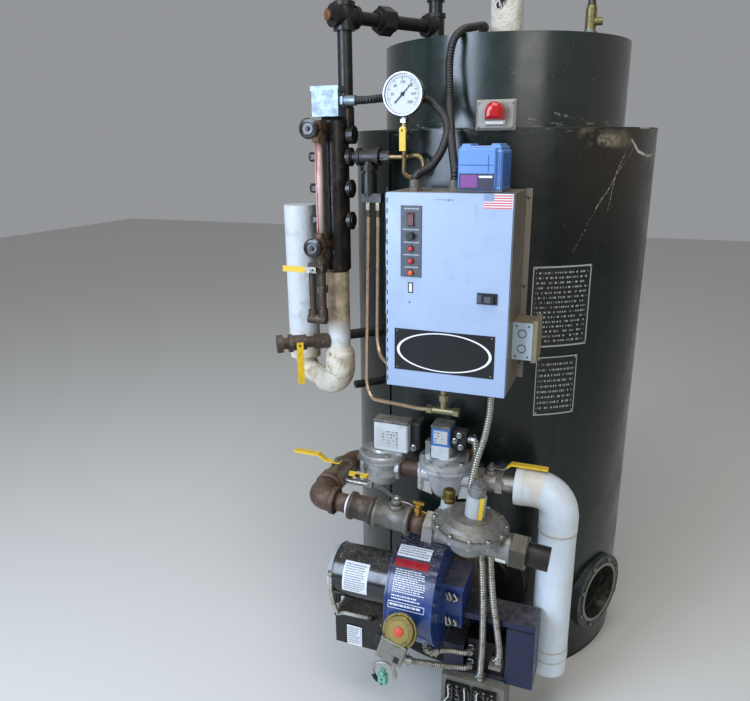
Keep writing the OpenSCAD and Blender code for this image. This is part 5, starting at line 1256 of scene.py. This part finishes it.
# Screws round the blower's rims, the motor's through bolts and hub cap, and the ignition box's lid.
small = []
for a in range(-20, 200, 40):
    place = round_blower(-86.2, a, 112)
    small.append(lathe_data([(4.4, 0), (4.4, 3), (3.2, 4)], place, leftward, 6) + (0,))
for a in (20, 100, 160):
    place = round_blower(25.2, a, 112)
    small.append(lathe_data([(4.4, 0), (4.4, 3), (3.2, 4)], place, (1, 0, 0), 6) + (0,))
for a in (45, 135, 225, 315):
    place = round_blower(-262 + 6.0, a, 51)
    small.append(lathe_data([(3.6, 0), (3.6, 3.5), (2.6, 4.2)], place, leftward, 6) + (0,))
for x in (-233, -118):
    small.append(lathe_data([(3.4, 0), (3.2, 1.4), (1.6, 2.2)], (x, -602, 260.5), ahead, 12) + (0,))
small.append(lathe_data([(30.0, 0), (30.0, 0.6)], switch_mid + switch_out * 9.4, switch_out, 36) + (1,))
small.append(lathe_data([(23.0, 0), (23.0, 0.8)], switch_mid + switch_out * 9.8, switch_out, 36) + (2,))
small.append(lathe_data([(11.0, 0), (10.2, 3.0), (6.5, 4.6), (2, 5.2)], switch_mid + switch_out * 10.4, switch_out,
                        18) + (3,))
for k in range(8):
    a = math.tau * (k + 0.5) / 8
    place = switch_mid + Vector((1, 0, 0)) * 36.2 * math.cos(a) + switch_up * 36.2 * math.sin(a) + switch_out * 3.8
    small.append(lathe_data([(2.2, 0), (2.0, 1.4), (1, 1.8)], place, switch_out, 10) + (0,))
form = joined(small)
olive_plate, *_ = worn("olive_printed_plate", "#77693A", 0.34, 0.7, stain=("#55502F", 0.5, 6))
chromate, *_ = worn("bright_chromate_plate", "#857342", 0.34, 0.95, stain=("#8A7440", 0.4, 8))
orange_cap, *_ = worn("red_orange_seal", "#C2452A", 0.4, stain=("#8E2C1E", 0.4, 5))
add_piece("burner_fasteners", form, [screw_zinc, olive_plate, chromate, orange_cap], "boiler")


# Lead-out wires of the transformer and the terminal strips' screws, barriers and white tails.
wires = []
random.seed(5)
for z in (372, 306):
    for k in range(6):
        x = 33 + 5.5 * k
        up = random.uniform(6, 13)
        wires.append(tube_data([(x, -580, z), (x + random.uniform(-4, 4), -588, z + up),
                                (x + random.uniform(2, 10), -591, z - 2),
                                (x + random.uniform(-6, 6), -585, z - up),
                                (x + random.uniform(-5, 5), -580.2, z - 12)],
                               1.9, 6, 8) + (k % 2,))
for k in range(9):
    x = 46 + 12.5 * k
    wires.append(tube_data([(x, -592, 132 - 3 * (k % 3)), (x + random.uniform(-5, 5), -601, 138),
                            (x + random.uniform(-8, 8), -604, 112), (x + random.uniform(-9, 9), -598, 84),
                            (x + random.uniform(-4, 4), -592.4, 70 - 4 * (k % 4))], 1.5, 7, 8) + (1 if k % 3 else 0,))
form = joined(wires)
white_wire, *_ = worn("white_wire_sheath", "#CFCFCB", 0.4)
grey_wire, *_ = worn("dusty_grey_wire_sheath", "#4A4B4D", 0.45)
add_piece("burner_wires", form, [white_wire, grey_wire], "boiler", True)
rows = []
for strip in (40, 104):
    for row in range(8):
        z = 134.5 - row * 12
        if z < 46:
            break
        for column in range(3):
            x = strip + 9.5 + column * 18.5
            rows.append(lathe_data([(3.2, 0), (3.0, 1.6), (1.4, 2.2)], (x, -592, z), ahead, 10) + (0,))
        rows.append(slab((strip + 0.5, -597, z - 7.0), (strip + 55.5, -591.5, z - 5.2)) + (1,))
form = joined(rows)
terminal_black, *_ = worn("black_terminal_moulding", "#141313", 0.4, dust=("#5B554B", 0.5))
add_piece("terminal_strips", form, [zinc_plate, terminal_black], "boiler")

# The half-round pale bracket under the leaning box, with its green terminal and dark fittings.
arch = [(-72 + 27 * math.cos(math.radians(a)), -706, 226 + 27 * math.sin(math.radians(a)))
        for a in range(-25, 206, 15)]
hook = [tube_data(arch, 4.2, 8, 12) + (0,),
        tube_data([(-97, -706, 215), (-92, -706, 204), (-80, -706, 198)], 5, 8, 12) + (2,),
        slab((-86, -714, 196), (-64, -700, 222), 2.5) + (1,),
        slab((-80, -715.5, 222), (-68, -702, 236), 2.0) + (1,),
        tube_data([(-47, -706, 215), (-50, -706, 262), (-56, -702, 272)], 4, 8, 10) + (0,)]
for z in (201, 213):
    hook.append(lathe_data([(3.4, 0), (3.2, 1.6), (1.4, 2.2)], (-75, -714, z), ahead, 12) + (3,))
form = joined(hook)
pale_zinc, *_ = worn("pale_dusty_zinc", "#A9A79D", 0.45, 0.6, stain=("#7E7866", 0.5, 8))
green_terminal, *_ = worn("pale_green_terminal", "#6FB29A", 0.4, dust=("#8FA294", 0.4))
add_piece("lead_bracket", form, [pale_zinc, green_terminal, black_plastic, screw_zinc], "boiler")

# ---------------------------------------------------------------- conduits
# Flexible steel conduit: ribbed black vinyl round the top fittings and the column box, bare
# galvanised strip down to the burner, each end in a plated connector.
flex_black, *_ = worn("black_vinyl_flex", "#1D1D1F", 0.4, dust=("#5A554C", 0.5))
flex_bare, *_ = worn("galvanised_flex", "#A8A69C", 0.36, 0.85, stain=("#6F6B5F", 0.5, 16), dust=("#A79C86", 0.4))
cord_grey, *_ = worn("pale_grey_cord", "#A9A9A2", 0.5, stain=("#7B776C", 0.4, 16))
routes = (
    ([(9, -500, 1289.3), (9, -500, 1305), (-14, -445, 1356), (-44, -362, 1445), (-52, -342, 1530), (-46, -338, 1572),
      (-34, -300, 1597), (-22, -250, 1606), (-12, -200, 1616), (-30, -100, 1624), (-60, -20, 1628), (-52, 70, 1626),
      (-20, 90, 1624),
      (-20, 90, 1607.3)], 8.8, 24, 0),
    ([(-241.7, -410, 1451), (-215, -410, 1451), (-180, -376, 1457), (-86, -372, 1452), (-42, -396, 1413),
      (-28, -424, 1384), (-32, -452, 1345), (-44, -492, 1312), (-62, -520, 1301), (-67, -525, 1294),
      (-67, -525, 1283.3)], 8.8, 18, 0),
    ([(101, -500, 838.7), (101, -500, 801), (92, -505, 736), (78, -508, 690), (62, -508, 600), (88, -515, 540),
      (108, -560, 470), (118, -574, 378), (121, -574, 250), (118, -568, 190), (117, -568, 150)], 7.8, 30, 1),
    ([(40.5, -440, 700), (57, -440, 700), (66, -466, 674), (70, -484, 640), (78, -490, 600), (122, -540, 480),
      (139, -574, 383), (154, -574, 295), (160, -568, 240), (156, -566, 206.3)], 7.8, 30, 1),
    ([(-38, -672, 246), (-12, -660, 236), (56, -590, 186), (89, -573, 178), (89, -545.3, 176)], 6.8, 20, 1),
    ([(11, -622, 240), (45, -592, 232), (89, -574, 220), (89, -545.3, 216)], 6.8, 18, 1),
    ([(-236, -592, 291.7), (-236, -592, 280), (-236, -592, 265.3)], 6.6, 4, 2))
parts_of_flex = [tube_data(points, radius, turn, 14, 0 if kind == 2 else 6.0, 1.2) + (kind,)
                 for points, radius, turn, kind in routes]
# Two short tails carry the loose ends on, to the leaning box and to the blower's underside.
for tail in ([(-37, -672.5, 246), (-50, -682, 250), (-54, -695, 262), (-54, -700, 276)],
             [(12, -621.4, 240.3), (4, -628, 243), (-2, -622, 250), (-3, -616, 259)]):
    parts_of_flex.append(tube_data(tail, 6.8, 10, 14, 6.0, 1.2) + (1,))
form = joined(parts_of_flex)
flexes = add_piece("flexible_conduits", form, [flex_black, flex_bare, cord_grey], "boiler", True)
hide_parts("conduits")
# Connectors with their clamp screws on the conduits' ends.
ends = ((routes[2][0][-1], upward, 1), (routes[3][0][-1], upward, 1), ((89, -545.3, 176), ahead, 1),
        ((89, -545.3, 216), ahead, 1), ((-38, -672, 246), (0.9, 0.42, -0.35), 1),
        ((11, -622, 240), (0.74, 0.65, -0.17), 1),
        ((40.5, -440, 700), (1, 0, 0), 1))
connectors = []
for place, way, kind in ends:
    way = Vector(way).normalized()
    connectors.append(lathe_data([(9.2, 0), (10.6, 0.6), (10.6, 6), (9.4, 7), (10.0, 16), (8.2, 20)], place, way, 20))
    beside = way.orthogonal().normalized()
    for s in (-1, 1):
        connectors.append(lathe_data([(2.6, 0), (2.6, 3), (1.6, 3.8)], Vector(place) + way * 12 + beside * 9.4 * s,
                                     beside * s, 8))
form = joined(connectors)
add_piece("conduit_connectors", form, zinc_plate, "boiler")

# The motor's own lead comes out of its end bell, drops behind the ignition box and lies along its top.
motor_lead = [(-245, -598, 376), (-243, -611, 364), (-240, -614, 322), (-233, -613, 290), (-226, -611, 270)]
lead_on_box = [(-226, -611, 271), (-215, -602, 269.6), (-150, -599, 269.4)]
form = joined([tube_data(motor_lead, 5.4, 8, 12, 5.0, 0.9) + (0,), tube_data(lead_on_box, 4.4, 8, 12) + (1,),
               lathe_data([(6, 0), (8, 2), (8, 9), (5, 12)], (-152, -598, 269.6), (1, 0, 0), 14) + (2,),
               lathe_data([(8, 0), (8, 10), (6, 12)], (-246, -600, 377), (0.1, -0.8, -0.6), 14) + (0,)])
add_piece("motor_lead", form, [flex_bare, cord_grey, flex_black], "boiler", True)
